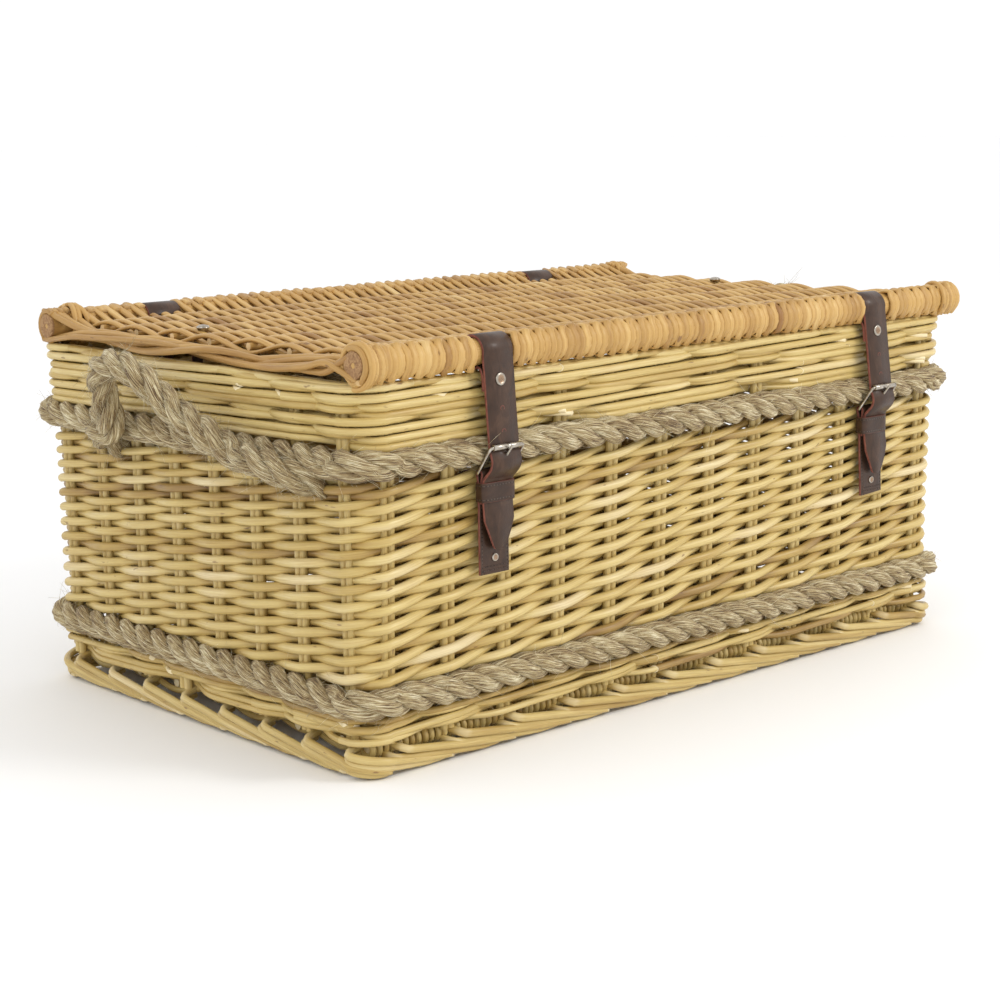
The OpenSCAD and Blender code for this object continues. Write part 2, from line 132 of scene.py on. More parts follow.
class Nodes:
    """A shorthand for building a material's nodes."""

    def __init__(self, name):
        self.material = bpy.data.materials.new(name)
        self.material.use_nodes = True
        self.tree = self.material.node_tree
        self.shader = self.tree.nodes["Principled BSDF"]

    def fill(self, socket, value):
        if isinstance(value, bpy.types.NodeSocket):
            self.tree.links.new(value, socket)
        else:
            socket.default_value = value

    def fill_all(self, node, inputs):
        """Fill the node's inputs by name, with _ for a space."""
        for name, value in inputs.items():
            self.fill(node.inputs[name.replace("_", " ")], value)

    def new(self, kind, **inputs):
        node = self.tree.nodes.new("ShaderNode" + kind)
        self.fill_all(node, inputs)
        return node

    def attribute(self, name, output="Fac"):
        node = self.new("Attribute")
        node.attribute_name = name
        return node.outputs[output]

    def scaled(self, vector, across, along):
        """The vector scaled by across in x and y, and by along in z."""
        return self.new("Mapping", Vector=vector, Scale=(across, across, along)).outputs["Vector"]

    def noise(self, vector, across, along, detail=2, rough=0.5, twist=0.0):
        place = self.scaled(vector, across, along)
        node = self.new("TexNoise", Vector=place, Scale=1.0, Detail=detail, Roughness=rough, Distortion=twist)
        return node.outputs["Fac"]

    def stretch(self, value, low, high, to_low=0.0, to_high=1.0):
        node = self.new("MapRange", Value=value, From_Min=low, From_Max=high, To_Min=to_low, To_Max=to_high)
        return node.outputs["Result"]

    def ramp(self, value, colours, places=(0.0, 0.25, 0.5, 0.75, 1.0)):
        node = self.new("ValToRGB", Fac=value)
        elements = node.color_ramp.elements
        while len(elements) < len(colours):
            elements.new(0.5)
        for element, place, colour in zip(elements, places, colours):
            element.position, element.color = place, (*colour, 1)
        return node.outputs["Color"]

    def mix(self, factor, a, b, blend="MIX"):
        node = self.new("Mix")
        node.data_type, node.blend_type = "RGBA", blend
        self.fill(node.inputs["Factor"], factor)
        for name, value in (("A", a), ("B", b)):
            socket = next(s for s in node.inputs if s.name == name and s.type == "RGBA")
            self.fill(socket, value if isinstance(value, bpy.types.NodeSocket) else (*value, 1))
        return next(s for s in node.outputs if s.type == "RGBA")

    def maths(self, operation, a, b=0.0):
        node = self.new("Math")
        node.operation = operation
        self.fill(node.inputs[0], a)
        self.fill(node.inputs[1], b)
        return node.outputs[0]

    def bump(self, height, distance, strength=1.0, **below):
        node = self.new("Bump", Strength=strength, Distance=distance, Height=height, **below)
        return node.outputs["Normal"]

    def finish(self, colour, roughness, normal, **more):
        self.fill_all(self.shader, {"Base_Color": colour, "Roughness": roughness, "Normal": normal, **more})
        return self.material


def willow_material(name, tones, cut, fleck, shine, coat):
    """Peeled willow: each rod has a tone of its own, with fine lines along it and pale cut ends."""
    n = Nodes(name)
    grain = n.attribute("grain", "Vector")
    cloud = n.noise(grain, 70, 14, detail=3, rough=0.6)
    lines = n.noise(grain, 1100, 26, detail=3, rough=0.65)
    spots = n.noise(grain, 260, 70)
    rings = n.noise(grain, 120, 240)
    tone = n.maths("ADD", n.attribute("tone"), n.stretch(cloud, 0.3, 0.7, -0.16, 0.16))
    colour = n.ramp(tone, tones)
    colour = n.mix(n.stretch(lines, 0.35, 0.75, 0.0, 0.45), colour, (0.46, 0.25, 0.07), "MULTIPLY")
    colour = n.mix(n.stretch(spots, 0.70, 0.76, 0.0, 0.75), colour, fleck)
    colour = n.mix(n.attribute("cut"), colour, cut)
    normal = n.bump(rings, 0.0005, 0.25, Normal=n.bump(lines, 0.00035, 0.55))
    rough = n.stretch(lines, 0.3, 0.7, shine, shine + 0.16)
    return n.finish(colour, rough, normal, Specular_IOR_Level=0.42, Coat_Weight=coat, Coat_Roughness=0.25)


def rope_material():
    """Natural hemp: grey-brown yarns with pale glints and darker valleys."""
    n = Nodes("hemp_rope")
    grain = n.attribute("grain", "Vector")
    fine = n.noise(grain, 1300, 75, detail=5, rough=0.75)
    cloud = n.noise(grain, 90, 30, detail=3, rough=0.6)
    value = n.maths("ADD", n.stretch(fine, 0.37, 0.63, -0.56, 0.54), n.stretch(cloud, 0.3, 0.7, -0.18, 0.18))
    colour = n.ramp(n.maths("ADD", value, n.attribute("tone")), HEMP)
    colour = n.mix(n.stretch(n.attribute("cut"), 0.0, 1.0, 0.0, 0.65), colour, (0.10, 0.06, 0.025))
    return n.finish(colour, n.stretch(fine, 0.3, 0.7, 0.5, 0.75), n.bump(fine, 0.0011), Sheen_Weight=0.1)


def end_grain_material():
    n = Nodes("willow_end_grain")
    rings = n.noise(n.attribute("grain", "Vector"), 300, 300, detail=4, rough=0.7, twist=1.2)
    colour = n.ramp(rings, ((0.16, 0.075, 0.028), (0.33, 0.18, 0.075), (0.47, 0.29, 0.13)), (0.3, 0.5, 0.7))
    return n.finish(colour, 0.75, n.bump(rings, 0.0006, 0.8))


def leather_material():
    """Waxed dark brown leather with a sewn line near each edge and raw red-brown sides."""
    n = Nodes("waxed_leather")
    grain = n.attribute("grain", "Vector")
    edge = n.attribute("tone")
    cut = n.attribute("cut")
    pebble = n.new("TexVoronoi", Vector=n.scaled(grain, 1500, 1500), Scale=1.0).outputs["Distance"]
    crease = n.noise(grain, 130, 60, detail=4, rough=0.6, twist=0.6)
    raw = n.noise(grain, 900, 240, detail=3)
    along = n.new("SeparateXYZ", Vector=grain).outputs["Z"]
    wave = n.maths("SINE", n.maths("MULTIPLY", along, STITCH_RATE))
    off_line = n.maths("ABSOLUTE", n.maths("SUBTRACT", edge, STITCH_INSET))
    on_line = n.stretch(off_line, 0.025, 0.06, 1.0, 0.0)
    stitch = n.maths("MULTIPLY", on_line, n.stretch(wave, -0.5, 0.1))
    colour = n.ramp(crease, HIDE, (0.25, 0.55, 0.8))
    colour = n.mix(n.stretch(on_line, 0.0, 1.0, 0.0, 0.75), colour, (0.008, 0.004, 0.003))
    colour = n.mix(n.stretch(stitch, 0.0, 1.0, 0.0, 0.6), colour, (0.13, 0.085, 0.06))
    side = n.ramp(raw, ((0.13, 0.038, 0.026), (0.30, 0.105, 0.078)), (0.3, 0.7))
    colour = n.mix(cut, colour, side)
    rough = n.maths("ADD", n.stretch(crease, 0.3, 0.7, 0.34, 0.5), n.stretch(cut, 0, 1, 0, 0.4))
    normal = n.bump(crease, 0.0008, 0.35, Normal=n.bump(pebble, 0.0002, 0.5))
    normal = n.bump(stitch, 0.0005, 0.8, Normal=normal)
    return n.finish(colour, rough, normal, Specular_IOR_Level=0.3, Coat_Weight=0.12, Coat_Roughness=0.18)


def steel_material():
    """Bright nickel plate, with fine rubbing and a little tarnish where cut is 1."""
    n = Nodes("nickel_plate")
    point = n.new("TexCoord").outputs["Object"]
    rub = n.noise(point, 900, 2400, detail=3, rough=0.7)
    cloud = n.noise(point, 160, 160, detail=3)
    colour = n.ramp(cloud, ((0.30, 0.26, 0.21), (0.46, 0.42, 0.36), (0.62, 0.60, 0.56)), (0.3, 0.6, 0.8))
    colour = n.mix(n.stretch(n.attribute("cut"), 0, 1, 0, 0.85), colour, (0.30, 0.17, 0.09))
    return n.finish(colour, n.stretch(rub, 0.3, 0.7, 0.16, 0.36), n.bump(rub, 0.0001, 0.4), Metallic=1.0)


# Colours from a rod's or yarn's darkest tone to its palest
STRAW = (
    (0.31, 0.19, 0.055), (0.49, 0.34, 0.10), (0.61, 0.465, 0.165), (0.69, 0.55, 0.23), (0.77, 0.65, 0.37),
)
HONEY = (
    (0.31, 0.155, 0.042), (0.46, 0.27, 0.08), (0.565, 0.35, 0.11), (0.64, 0.42, 0.15), (0.72, 0.54, 0.25),
)
HEMP = (
    (0.075, 0.036, 0.012), (0.22, 0.135, 0.048), (0.40, 0.295, 0.135),
    (0.56, 0.46, 0.255), (0.82, 0.75, 0.53),
)
HIDE = ((0.026, 0.011, 0.005), (0.052, 0.024, 0.012), (0.095, 0.048, 0.027))
STRAW_CUT, STRAW_FLECK = (0.82, 0.70, 0.44), (0.20, 0.10, 0.035)
HONEY_CUT, HONEY_FLECK = (0.72, 0.52, 0.27), (0.17, 0.075, 0.025)
STITCH_RATE = 2050.0  # radians of the stitches' wave in each metre
STITCH_INSET = 0.22  # cm from the leather's edge

# A look is a material and the record's slot that it belongs to.
WILLOW = (willow_material("willow_straw", STRAW, STRAW_CUT, STRAW_FLECK, 0.40, 0.25), "willow")
LID_WILLOW = (willow_material("willow_honey", HONEY, HONEY_CUT, HONEY_FLECK, 0.42, 0.04), "lid_willow")
END_GRAIN = (end_grain_material(), "lid_willow")
ROPE = (rope_material(), "rope")
LEATHER = (leather_material(), "leather")
STEEL = (steel_material(), "steel")


# ---------- lines and rods ----------

ROD_SIDES = 10
GRAIN_SPREAD = 9  # each rod takes its grain from its own place, up to this far away


def unit(v):
    return v / np.linalg.norm(v, axis=-1, keepdims=True)


def xyz(x, y, z):
    """Points from their coordinates, each of them one number or an array."""
    return np.stack(np.broadcast_arrays(x, y, z), axis=-1)


def circle(count):
    return np.arange(count) * 2 * math.pi / count


def lengths(path):
    return np.concatenate([[0], np.cumsum(np.linalg.norm(np.diff(path, axis=0), axis=1))])


def tangents(path):
    return unit(np.gradient(path, axis=0))


def even(path, count):
    s = lengths(path)
    want = np.linspace(0, s[-1], count)
    return np.stack([np.interp(want, s, column) for column in path.T], axis=1)


def even_loop(points, count):
    """Points evenly spaced round a closed line, the last one short of the first."""
    return even(np.vstack([points, points[:1]]), count + 1)[:-1]


def smooth_path(points, count):
    """A Catmull-Rom line through the points, with its samples evenly spaced."""
    p = np.asarray(points, float)
    ext = np.vstack([2 * p[0] - p[1], p, 2 * p[-1] - p[-2]])
    t = np.linspace(0, 1, 24, endpoint=False)[:, None]
    fine = []
    for a, b, c, d in zip(ext, ext[1:], ext[2:], ext[3:]):
        square = 2 * a - 5 * b + 4 * c - d
        cube = 3 * b - a - 3 * c + d
        fine.append(0.5 * (2 * b + (c - a) * t + square * t**2 + cube * t**3))
    return even(np.vstack([*fine, ext[-2:-1]]), count)


def carried_up(path, first):
    """A direction square to the path at each point, carried along from first without turning."""
    ups = []
    up = first
    for t in tangents(path):
        up = up - t * (up @ t)
        up = up / math.sqrt(up @ up)
        ups.append(up)
    return np.array(ups)


def numbered(name, k):
    """The name of part k of a piece: the first part has the plain name, and the next ends in _2."""
    return name if k == 0 else f"{name}_{k + 1}"


class Bundle:
    """Many rods that become one mesh."""

    def __init__(self, seed):
        self.rng = np.random.default_rng(seed)
        self.points, self.faces, self.flat = [], [], []
        self.tone, self.grain, self.cut = [], [], []
        self.count = 0

    def wander(self, u, size, waves=(0.35, 0.8, 1.7)):
        """A smooth random drift along u."""
        total = 0.0
        for w in waves:
            angle = u * w * self.rng.uniform(0.8, 1.25) + self.rng.uniform(0, 6.28)
            total = total + np.sin(angle) / len(waves)
        return total * size

    def shade(self, middle, spread):
        """A random tone for one rod."""
        return float(np.clip(self.rng.normal(middle, spread), 0.04, 0.97))

    def add(self, points, faces, tone, grain, cut, flat=False):
        self.points.append(points)
        self.faces += (np.asarray(faces) + self.count).tolist()
        self.flat += [flat] * len(faces)
        self.tone.append(np.broadcast_to(tone, len(points)))
        self.grain.append(grain)
        self.cut.append(np.broadcast_to(cut, len(points)))
        self.count += len(points)

    def loft(self, rings, tone, grain, cut=0.0, end_cut=None, bulge=0.12, closed=False):
        """Skin a row of rings, with faces outward. A low cone closes each end, unless end_cut is None."""
        n, m = rings.shape[:2]
        index = np.arange(n * m).reshape(n, m)
        here, ahead = (index, np.roll(index, -1, 0)) if closed else (index[:-1], index[1:])
        faces = np.stack([here, np.roll(here, -1, 1), np.roll(ahead, -1, 1), ahead], axis=-1).reshape(-1, 4)
        points = rings.reshape(-1, 3)
        corner = points[faces] - points.mean(0)
        spin = np.einsum("ij,ij->i", corner[:, 0], np.cross(corner[:, 1] - corner[:, 3], corner[:, 2])).sum()
        inward = spin < 0
        self.add(points, faces[:, ::-1] if inward else faces, tone, grain.reshape(-1, 3), cut)
        if end_cut is None or closed:
            return
        tone = np.broadcast_to(tone, n * m).reshape(n, m)
        for end, step in ((0, -1), (-1, 1)):
            centre = rings[end].mean(0)
            along = unit(centre - rings[end - step].mean(0))
            size = np.linalg.norm(rings[end] - centre, axis=1).mean()
            cap = np.vstack([rings[end], centre + along * bulge * size])
            loop = np.arange(m)[:: -step if inward else step]
            fan = [(i, j, m) for i, j in zip(loop, np.roll(loop, -1))]
            end_grain = np.vstack([grain[end], grain[end].mean(0)])
            self.add(cap, fan, np.append(tone[end], tone[end].mean()), end_grain, end_cut, flat=True)

    def rod(
        self, path, radius, tone, ref=Z_AXIS, sides=ROD_SIDES, wide=1.0, cut=0.0, slant=(0.0, 0.0),
        frames=None, lobes=1.0, turn=0.0, end_cut=1.0, start=None,
    ):
        """A rod along path. Its own 'up' stays close to ref, and wide stretches it square to that.
        frames gives its tangents and ups instead, and start its grain's place and first length."""
        path = np.asarray(path, float)
        n = len(path)
        if frames is None:
            t = tangents(path)
            side = unit(np.cross(t, ref))
            up = np.cross(side, t)
        else:
            t, up = frames
            side = np.cross(t, up)
        angle = circle(sides)
        a = angle + np.broadcast_to(turn, n)[:, None]
        r = np.broadcast_to(radius, n)[:, None] * np.broadcast_to(lobes, sides)
        across = np.broadcast_to(wide, n)[:, None] * np.cos(a) * r
        above = np.sin(a) * r
        ring = path[:, None] + across[..., None] * side[:, None] + above[..., None] * up[:, None]
        ring[0] += t[0] * (slant[0] * across[0])[:, None]
        ring[-1] += t[-1] * (slant[1] * across[-1])[:, None]
        place, s = (self.rng.uniform(-GRAIN_SPREAD, GRAIN_SPREAD, 3), 0.0) if start is None else start
        grain = xyz(r * np.cos(angle), r * np.sin(angle), lengths(path)[:, None] + s) * MM + place
        self.loft(ring, tone, grain, np.repeat(np.broadcast_to(cut, n), sides), end_cut)

    def strip(self, path, across, half, thick, groove=0.2, closed=False):
        """A leather strip. tone holds the distance from the strip's edge in cm, for its stitches."""
        n = len(path)
        t = unit(np.roll(path, -1, 0) - np.roll(path, 1, 0)) if closed else tangents(path)
        a = unit(across - t * (t @ across)[:, None])
        up = np.cross(a, t)
        half = np.broadcast_to(half, n)[:, None]
        inset = np.array([0.35, 1.2, 1.9, 2.5, 3.2, 5.0])
        lift = np.array([-0.12, 0.0, -groove, -groove, 0.0, 0.05])
        scale = np.minimum(1.0, half / 6.0)
        left = -half + inset * scale
        rise = thick / 2 + np.concatenate([lift, [0.1], lift[::-1]])
        top = len(rise)
        row = [left, half * 0, -left[:, ::-1], half, half, half - 0.35, half * 0, 0.35 - half, -half, -half]
        row = np.concatenate(row, axis=1)
        q = thick * 0.3
        low = [q, -q, -thick / 2 + 0.1, -thick / 2, -thick / 2 + 0.1, -q, q]
        height = np.broadcast_to(np.concatenate([rise, low]), row.shape)
        rings = path[:, None] + row[..., None] * a[:, None] + height[..., None] * up[:, None]
        depth = np.minimum((half - np.abs(row)) / scale, 9.0) / 10
        depth[:, top:] = 0.9
        cut = np.zeros(row.shape[1])
        cut[[top, top + 1, -1, -2]] = 1.0
        grain = xyz(row, height, lengths(path)[:, None]) * MM + self.rng.uniform(-3, 3) * np.array([1, 1, 0])
        self.loft(rings, depth.ravel(), grain, np.tile(cut, n), 1.0, 0.0, closed)

    def lathe(self, centre, axis, profile, tone=0.5, cut=0.0, sides=28):
        """Turn a profile of (radius, distance along axis) rows about axis. A row may add its tone and cut."""
        rows = np.array([p if len(p) == 4 else (*p, tone, cut) for p in profile], float)
        axis = unit(np.asarray(axis, float))
        e1 = unit(np.cross(axis, Z_AXIS if abs(axis[2]) < 0.9 else X_AXIS))
        e2 = np.cross(axis, e1)
        a = circle(sides)
        spoke = np.cos(a)[:, None] * e1 + np.sin(a)[:, None] * e2
        rings = np.asarray(centre, float) + rows[:, 1, None, None] * axis + rows[:, 0, None, None] * spoke
        grain = xyz(rows[:, :1] * np.cos(a), rows[:, :1] * np.sin(a), rows[:, 1:2]) * MM
        self.loft(rings, np.repeat(rows[:, 2], sides), grain, np.repeat(rows[:, 3], sides))

    def piece(self, name, look, body="trunk", extra=False):
        """Make the object. It replaces the CAD node of its name, unless it is an extra piece. body is one
        name, which the object is attached to. When body is two names with two places, these are not used, and
        the object's transform is baked into its mesh."""
        material, slot = look
        points = (np.vstack(self.points) + FRAME_SHIFT) * MM
        mesh = bpy.data.meshes.new(name)
        mesh.from_pydata(points.tolist(), [], self.faces)
        for key, kind, field, values in (
            ("tone", "FLOAT", "value", np.concatenate(self.tone)),
            ("cut", "FLOAT", "value", np.concatenate(self.cut)),
            ("grain", "FLOAT_VECTOR", "vector", np.vstack(self.grain)),
        ):
            layer = mesh.attributes.new(key, kind, "POINT")
            layer.data.foreach_set(field, values.astype(np.float32).ravel())
        mesh.polygons.foreach_set("use_smooth", ~np.array(self.flat))
        mesh.materials.append(material)
        mesh.update()
        obj = bpy.data.objects.new(name, mesh)
        scene.collection.objects.link(obj)
        if isinstance(body, str):
            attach(obj, body)
        else:
            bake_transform(obj)
        if not extra:
            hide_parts(name)


# ---------- the ring of stakes ----------

WALL = 18.0
FOOT_HALF = (355.0, 220.0)
GROWTH = (0.01, 0.03)  # how far the end and the long walls lean out, in each mm of height
LONG_PAIRS, END_PAIRS = 12, 8
FRONT_SPAN, END_SPAN = 325.0, 196.0
PAIRS = 2 * (LONG_PAIRS + END_PAIRS)
# The last pair before each corner, and how far the weave bows out there
CORNERS = (LONG_PAIRS - 1, LONG_PAIRS + END_PAIRS - 1, 2 * LONG_PAIRS + END_PAIRS - 1, PAIRS - 1)
CORNER_BOW = 7.5


def pair_places():
    """Each pair's place at the floor, how it moves outward with height, and the wall's outward direction,
    going round from the front left corner."""
    hx, hy = FOOT_HALF[0] - WALL / 2, FOOT_HALF[1] - WALL / 2
    xs = np.linspace(-FRONT_SPAN, FRONT_SPAN, LONG_PAIRS)
    ys = np.linspace(-END_SPAN, END_SPAN, END_PAIRS)
    rows = [(x, -hy, 0, -GROWTH[1], 0, -1) for x in xs]
    rows += [(hx, y, GROWTH[0], 0, 1, 0) for y in ys]
    rows += [(x, hy, 0, GROWTH[1], 0, 1) for x in xs[::-1]]
    rows += [(-hx, y, -GROWTH[0], 0, -1, 0) for y in ys[::-1]]
    return np.array(rows, float)


class Ring:
    """The line of the stakes, looked up by pair number u: 0 to PAIRS goes once round."""

    def __init__(self, round_mm=3, turn_mm=7):
        places = pair_places()
        rows, us = [], []
        for i, (here, ahead) in enumerate(zip(places, np.roll(places, -1, 0))):
            steps = max(8, int(np.linalg.norm(ahead[:2] - here[:2])))
            t = np.linspace(0, 1, steps, endpoint=False)
            rows.append(here + (ahead - here) * t[:, None])
            us.append(i + t)
        rows = np.vstack(rows)
        for columns, reach in ((range(2), round_mm), (range(2, 6), turn_mm)):
            half = reach + 1
            window = np.hanning(2 * half + 1)
            window /= window.sum()
            for k in columns:
                wrapped = np.concatenate([rows[-half:, k], rows[:, k], rows[:half, k]])
                rows[:, k] = np.convolve(wrapped, window, "valid")
        self.u = np.concatenate([*us, [PAIRS]])
        self.rows = np.vstack([rows, rows[:1]])

    def at(self, u, out, z):
        """The point at pair u and height z, at a distance of out from the stakes' line."""
        u, out, z = np.broadcast_arrays(np.asarray(u, float), out, z)
        m = np.mod(u, PAIRS)
        x, y, gx, gy, nx, ny = (np.interp(m, self.u, column) for column in self.rows.T)
        length = np.hypot(nx, ny)
        bow = CORNER_BOW * np.sin(math.pi * np.mod(m, 1.0)) ** 0.8
        out = out + np.where(np.isin(np.floor(m), CORNERS), bow, 0.0)
        return xyz(x + gx * z + nx / length * out, y + gy * z + ny / length * out, z)


RING = Ring()


def ring_steps(u0, u1, per_pair):
    """Values of u from u0 to u1, fewer on the short stretches at the corners."""
    out = [u0]
    for i in range(math.floor(u0), math.ceil(u1)):
        n = max(6, per_pair * 2 // 3) if i % PAIRS in CORNERS else per_pair
        out += [v for v in i + np.arange(n) / n if u0 < v < u1]
    return np.array(out + [u1])


def ring_keys(u, out, z, pair_mm, count):
    """A smooth line round the wall through a few places, evenly spaced as if pairs stood pair_mm apart."""
    u, out, z = smooth_path(xyz(u * pair_mm, out, z), count).T
    return u / pair_mm, out, z


# ---------- body ----------

STAKE_Z = (25, 297)
STAKE_OFFSET = 3.2  # each stake of a pair, from the pair's middle
STAKE_RADIUS = (3.35, 3.05)


def make_stakes():
    edges = (0, *(corner + 1 for corner in CORNERS))
    z = np.linspace(*STAKE_Z, 22)
    for seed, side in enumerate(("front", "right", "back", "left"), 1):
        b = Bundle(seed)
        for k in range(edges[seed - 1], edges[seed]):
            nx, ny = pair_places()[k, 4:]
            tangent = np.array([-ny, nx, 0.0])
            for offset in (-STAKE_OFFSET, STAKE_OFFSET):
                along = offset + b.wander(z * 0.02, 0.25)
                path = RING.at(k, b.wander(z * 0.02, 0.3), z) + along[:, None] * tangent
                radius = np.linspace(*STAKE_RADIUS, len(z)) * b.rng.uniform(0.95, 1.05)
                b.rod(path, radius, b.shade(0.56, 0.14), ref=X_AXIS + 0.3 * Y_AXIS)
        b.piece("stakes_" + side, WILLOW)


make_stakes()

SIDING_Z = (72.0, 230.0)
SIDING_ROWS = 24
ROW_PITCH = (7.2, 6.0)  # the lowest and the highest row's share of that height
SIDING_RADIUS = (4.0, 3.45)
SIDING_SWING = 6.0
ROW_WAVES = ((3, 1.0), (5, 2.6), (11, 4.1))  # the rows' slow waves: how many go round, and their start


def make_siding():
    """French rand: one rod starts in each space between stake pairs. Each passes before one pair and behind
    the next, and climbs one row every time, so that all of the rods reach the top side by side."""
    pitches = np.linspace(*ROW_PITCH, SIDING_ROWS)
    tops = np.cumsum(pitches)
    middles = SIDING_Z[0] + (tops - pitches / 2) * (SIDING_Z[1] - SIDING_Z[0]) / tops[-1]
    last = SIDING_ROWS - 1
    for part in range(3):
        b = Bundle(20 + part)
        for k in range(part * PAIRS // 3, (part + 1) * PAIRS // 3):
            u = ring_steps(k - 0.78, k + last + 0.25, 11)
            climb = u - k
            swing = np.cos(math.pi * climb)
            out = SIDING_SWING * (0.6 * swing + 0.4 * np.arcsin(swing) * 2 / math.pi) + b.wander(u, 0.3)
            z = np.interp(climb, np.arange(SIDING_ROWS), middles) + 6.0 * np.minimum(climb, 0)
            z = z + b.wander(u * 2.0, 0.3)
            z = z + 0.5 * sum(np.sin(w * 2 * math.pi / PAIRS * u + d) for w, d in ROW_WAVES)
            radius = np.interp(climb, [0, last], SIDING_RADIUS) * b.rng.uniform(0.96, 1.06)
            tone = b.shade(0.5, 0.2) + b.wander(u * 0.7, 0.05)
            # Where a rod passes in front of the stakes its tone is made paler, and where it passes behind
            # them darker: painted light and shade.
            tone = tone + 0.14 * np.sign(out) * np.abs(out / SIDING_SWING) ** 0.7
            tones = np.repeat(np.clip(tone, 0, 1), ROD_SIDES)
            b.rod(RING.at(u, out, z), radius, tones, slant=(0.6, -0.6))
        b.piece(numbered("siding_weave", part), WILLOW, extra=part > 0)


make_siding()


def wale(b, low, high, rows, period, radius):
    """Rows of long strokes. Each rod passes before all but one of every few pairs and climbs a little on the
    way, and a second rod of the same row fills the inside."""
    pitch = (high - low) / rows
    for row in range(rows):
        middle = low + (row + 0.5) * pitch
        for inside in (0, 1):
            shift = int(b.rng.integers(0, period)) if row == 0 else (row * (period - 1)) % period
            first = -float(b.rng.integers(0, 12))
            breaks = [first]
            while breaks[-1] < first + PAIRS:
                breaks.append(breaks[-1] + period * int(b.rng.integers(2, 5)))
            breaks[-1] = first + PAIRS
            for u0, u1 in zip(breaks[:-1], breaks[1:]):
                if u1 - u0 < 1:
                    continue
                u = ring_steps(u0 - 0.15, u1 + 0.3, 10)
                phase = np.mod(u - shift, period)
                dive = np.clip(np.minimum(phase, period - phase) / 0.95, 0, 1)
                out = -6.6 + 13.0 * (0.5 - 0.5 * np.cos(math.pi * dive))
                climb = np.interp(phase, [0, 0.6, period - 0.6, period], [0, -0.5, 0.5, 0]) * pitch * 0.62
                z = middle + climb + b.wander(u * 1.6, 0.35)
                if inside:
                    out = -0.82 * out
                    z = middle - climb * 0.3 + pitch * 0.42 + b.wander(u * 1.6, 0.3)
                    z = np.minimum(z, high - radius + 0.4)
                taper = np.linspace(1.06, 0.9, len(u)) * radius * b.rng.uniform(0.93, 1.07)
                out = out + b.wander(u * 2.5, 0.3)
                # The inside rod takes a darker tone than the outer one: painted shade.
                b.rod(RING.at(u, out, z), taper, b.shade(0.54 - 0.06 * inside, 0.18), slant=(0.8, -0.8))


def add_stubs(b, low, high, count):
    """Cut ends of waling rods that stand out of the wall."""
    t = np.linspace(0, 1, 7)
    for _ in range(count):
        u = b.rng.integers(0, PAIRS) + b.rng.uniform(-0.42, -0.15)
        z = low + b.rng.uniform(0.15, 0.9) * (high - low)
        reach = b.rng.uniform(0.28, 0.42)
        path = RING.at(u - 0.12 + reach * t, -1.5 + 9.4 * np.sin(t * math.pi / 2), z - 1.2 * t)
        b.rod(path, np.linspace(0.85, 0.75, 7) * 2.5, 0.9, cut=0.35 + 0.5 * t, slant=(0, -1.6))


def make_wales():
    for seed, name, low, high, period, radius, stubs in (
        (31, "upsett_wale", 27.2, 47.6, 3, 2.85, 5),
        (32, "top_wale", 252.6, 276.6, 4, 3.25, 14),
        (33, "top_wale_2", 276.6, 300.8, 4, 3.25, 12),
    ):
        b = Bundle(seed)
        wale(b, low, high, 4, period, radius)
        add_stubs(b, low, high, stubs)
        b.piece(name, WILLOW, extra=name == "top_wale_2")


make_wales()

FOOT_KNEE, LOWER_DROP = 20.4, 6.0
FLOOR_ROOM = 3.9


def make_foot_border():
    """The bent-down stake ends at the foot, an upper and a lower one at each pair."""
    b = Bundle(41)
    for k in range(PAIRS):
        for lower in (0, 1):
            shift = b.rng.uniform(-0.04, 0.04)
            reach = b.rng.uniform(2.0, 2.3)
            start = k + 0.02 + 0.13 * (1 - lower) + shift * 0.5
            u = start + np.array([-0.07, -0.06, -0.03, 0.03, 0.12, 0.6, 1.2, reach - 0.25])
            out = np.array([-7.0, -3.0, 4.5, 8.8, 9.4, 8.8, 7.6, 6.2]) - 2.4 * lower
            drop = np.array([-3.0, -2.2, -1.2, 0.2, 1.2, 5.2, 10.6, 16.0]) * (1 - 0.22 * lower)
            u, out, z = ring_keys(u, out, FOOT_KNEE - LOWER_DROP * lower - drop, 58, 30)
            z = np.maximum(z, FLOOR_ROOM)
            t = np.linspace(0, 1, len(z))
            radius = np.minimum((3.3 - 1.4 * t**4) * b.rng.uniform(0.94, 1.06), z - 0.15)
            pale = 0.5 * np.exp(-(((t - 0.12) / 0.03) ** 2))
            b.rod(RING.at(u, out, z), radius, b.shade(0.5, 0.14), cut=pale, slant=(0, -1.8), end_cut=0.6)
    b.piece("foot_border", WILLOW)


def make_rim_border():
    """The turned-over stake ends along the rim."""
    b = Bundle(42)
    out = np.array([0.0, 0.3, 3.0, 4.2, 1.0, -4.5, -8.0])
    z = np.array([290.0, 296.0, 299.2, 299.4, 299.0, 298.0, 296.0])
    for k in range(PAIRS):
        u = k + b.rng.uniform(-0.06, 0.06) + np.array([0.0, 0.05, 0.3, 0.9, 1.6, 2.3, 2.75])
        path = RING.at(*ring_keys(u, out, z, 40, 28))
        b.rod(path, np.linspace(3.4, 2.5, len(path)), b.shade(0.5, 0.14), slant=(0, 1.0))
    b.piece("rim_border", WILLOW, extra=True)


make_foot_border()
make_rim_border()

BASE_Z = 21.5
BASE_STICKS = [57.0 * i for i in range(-3, 4)]
EDGE_STICK = 201.5
BASE_WEAVERS = 104


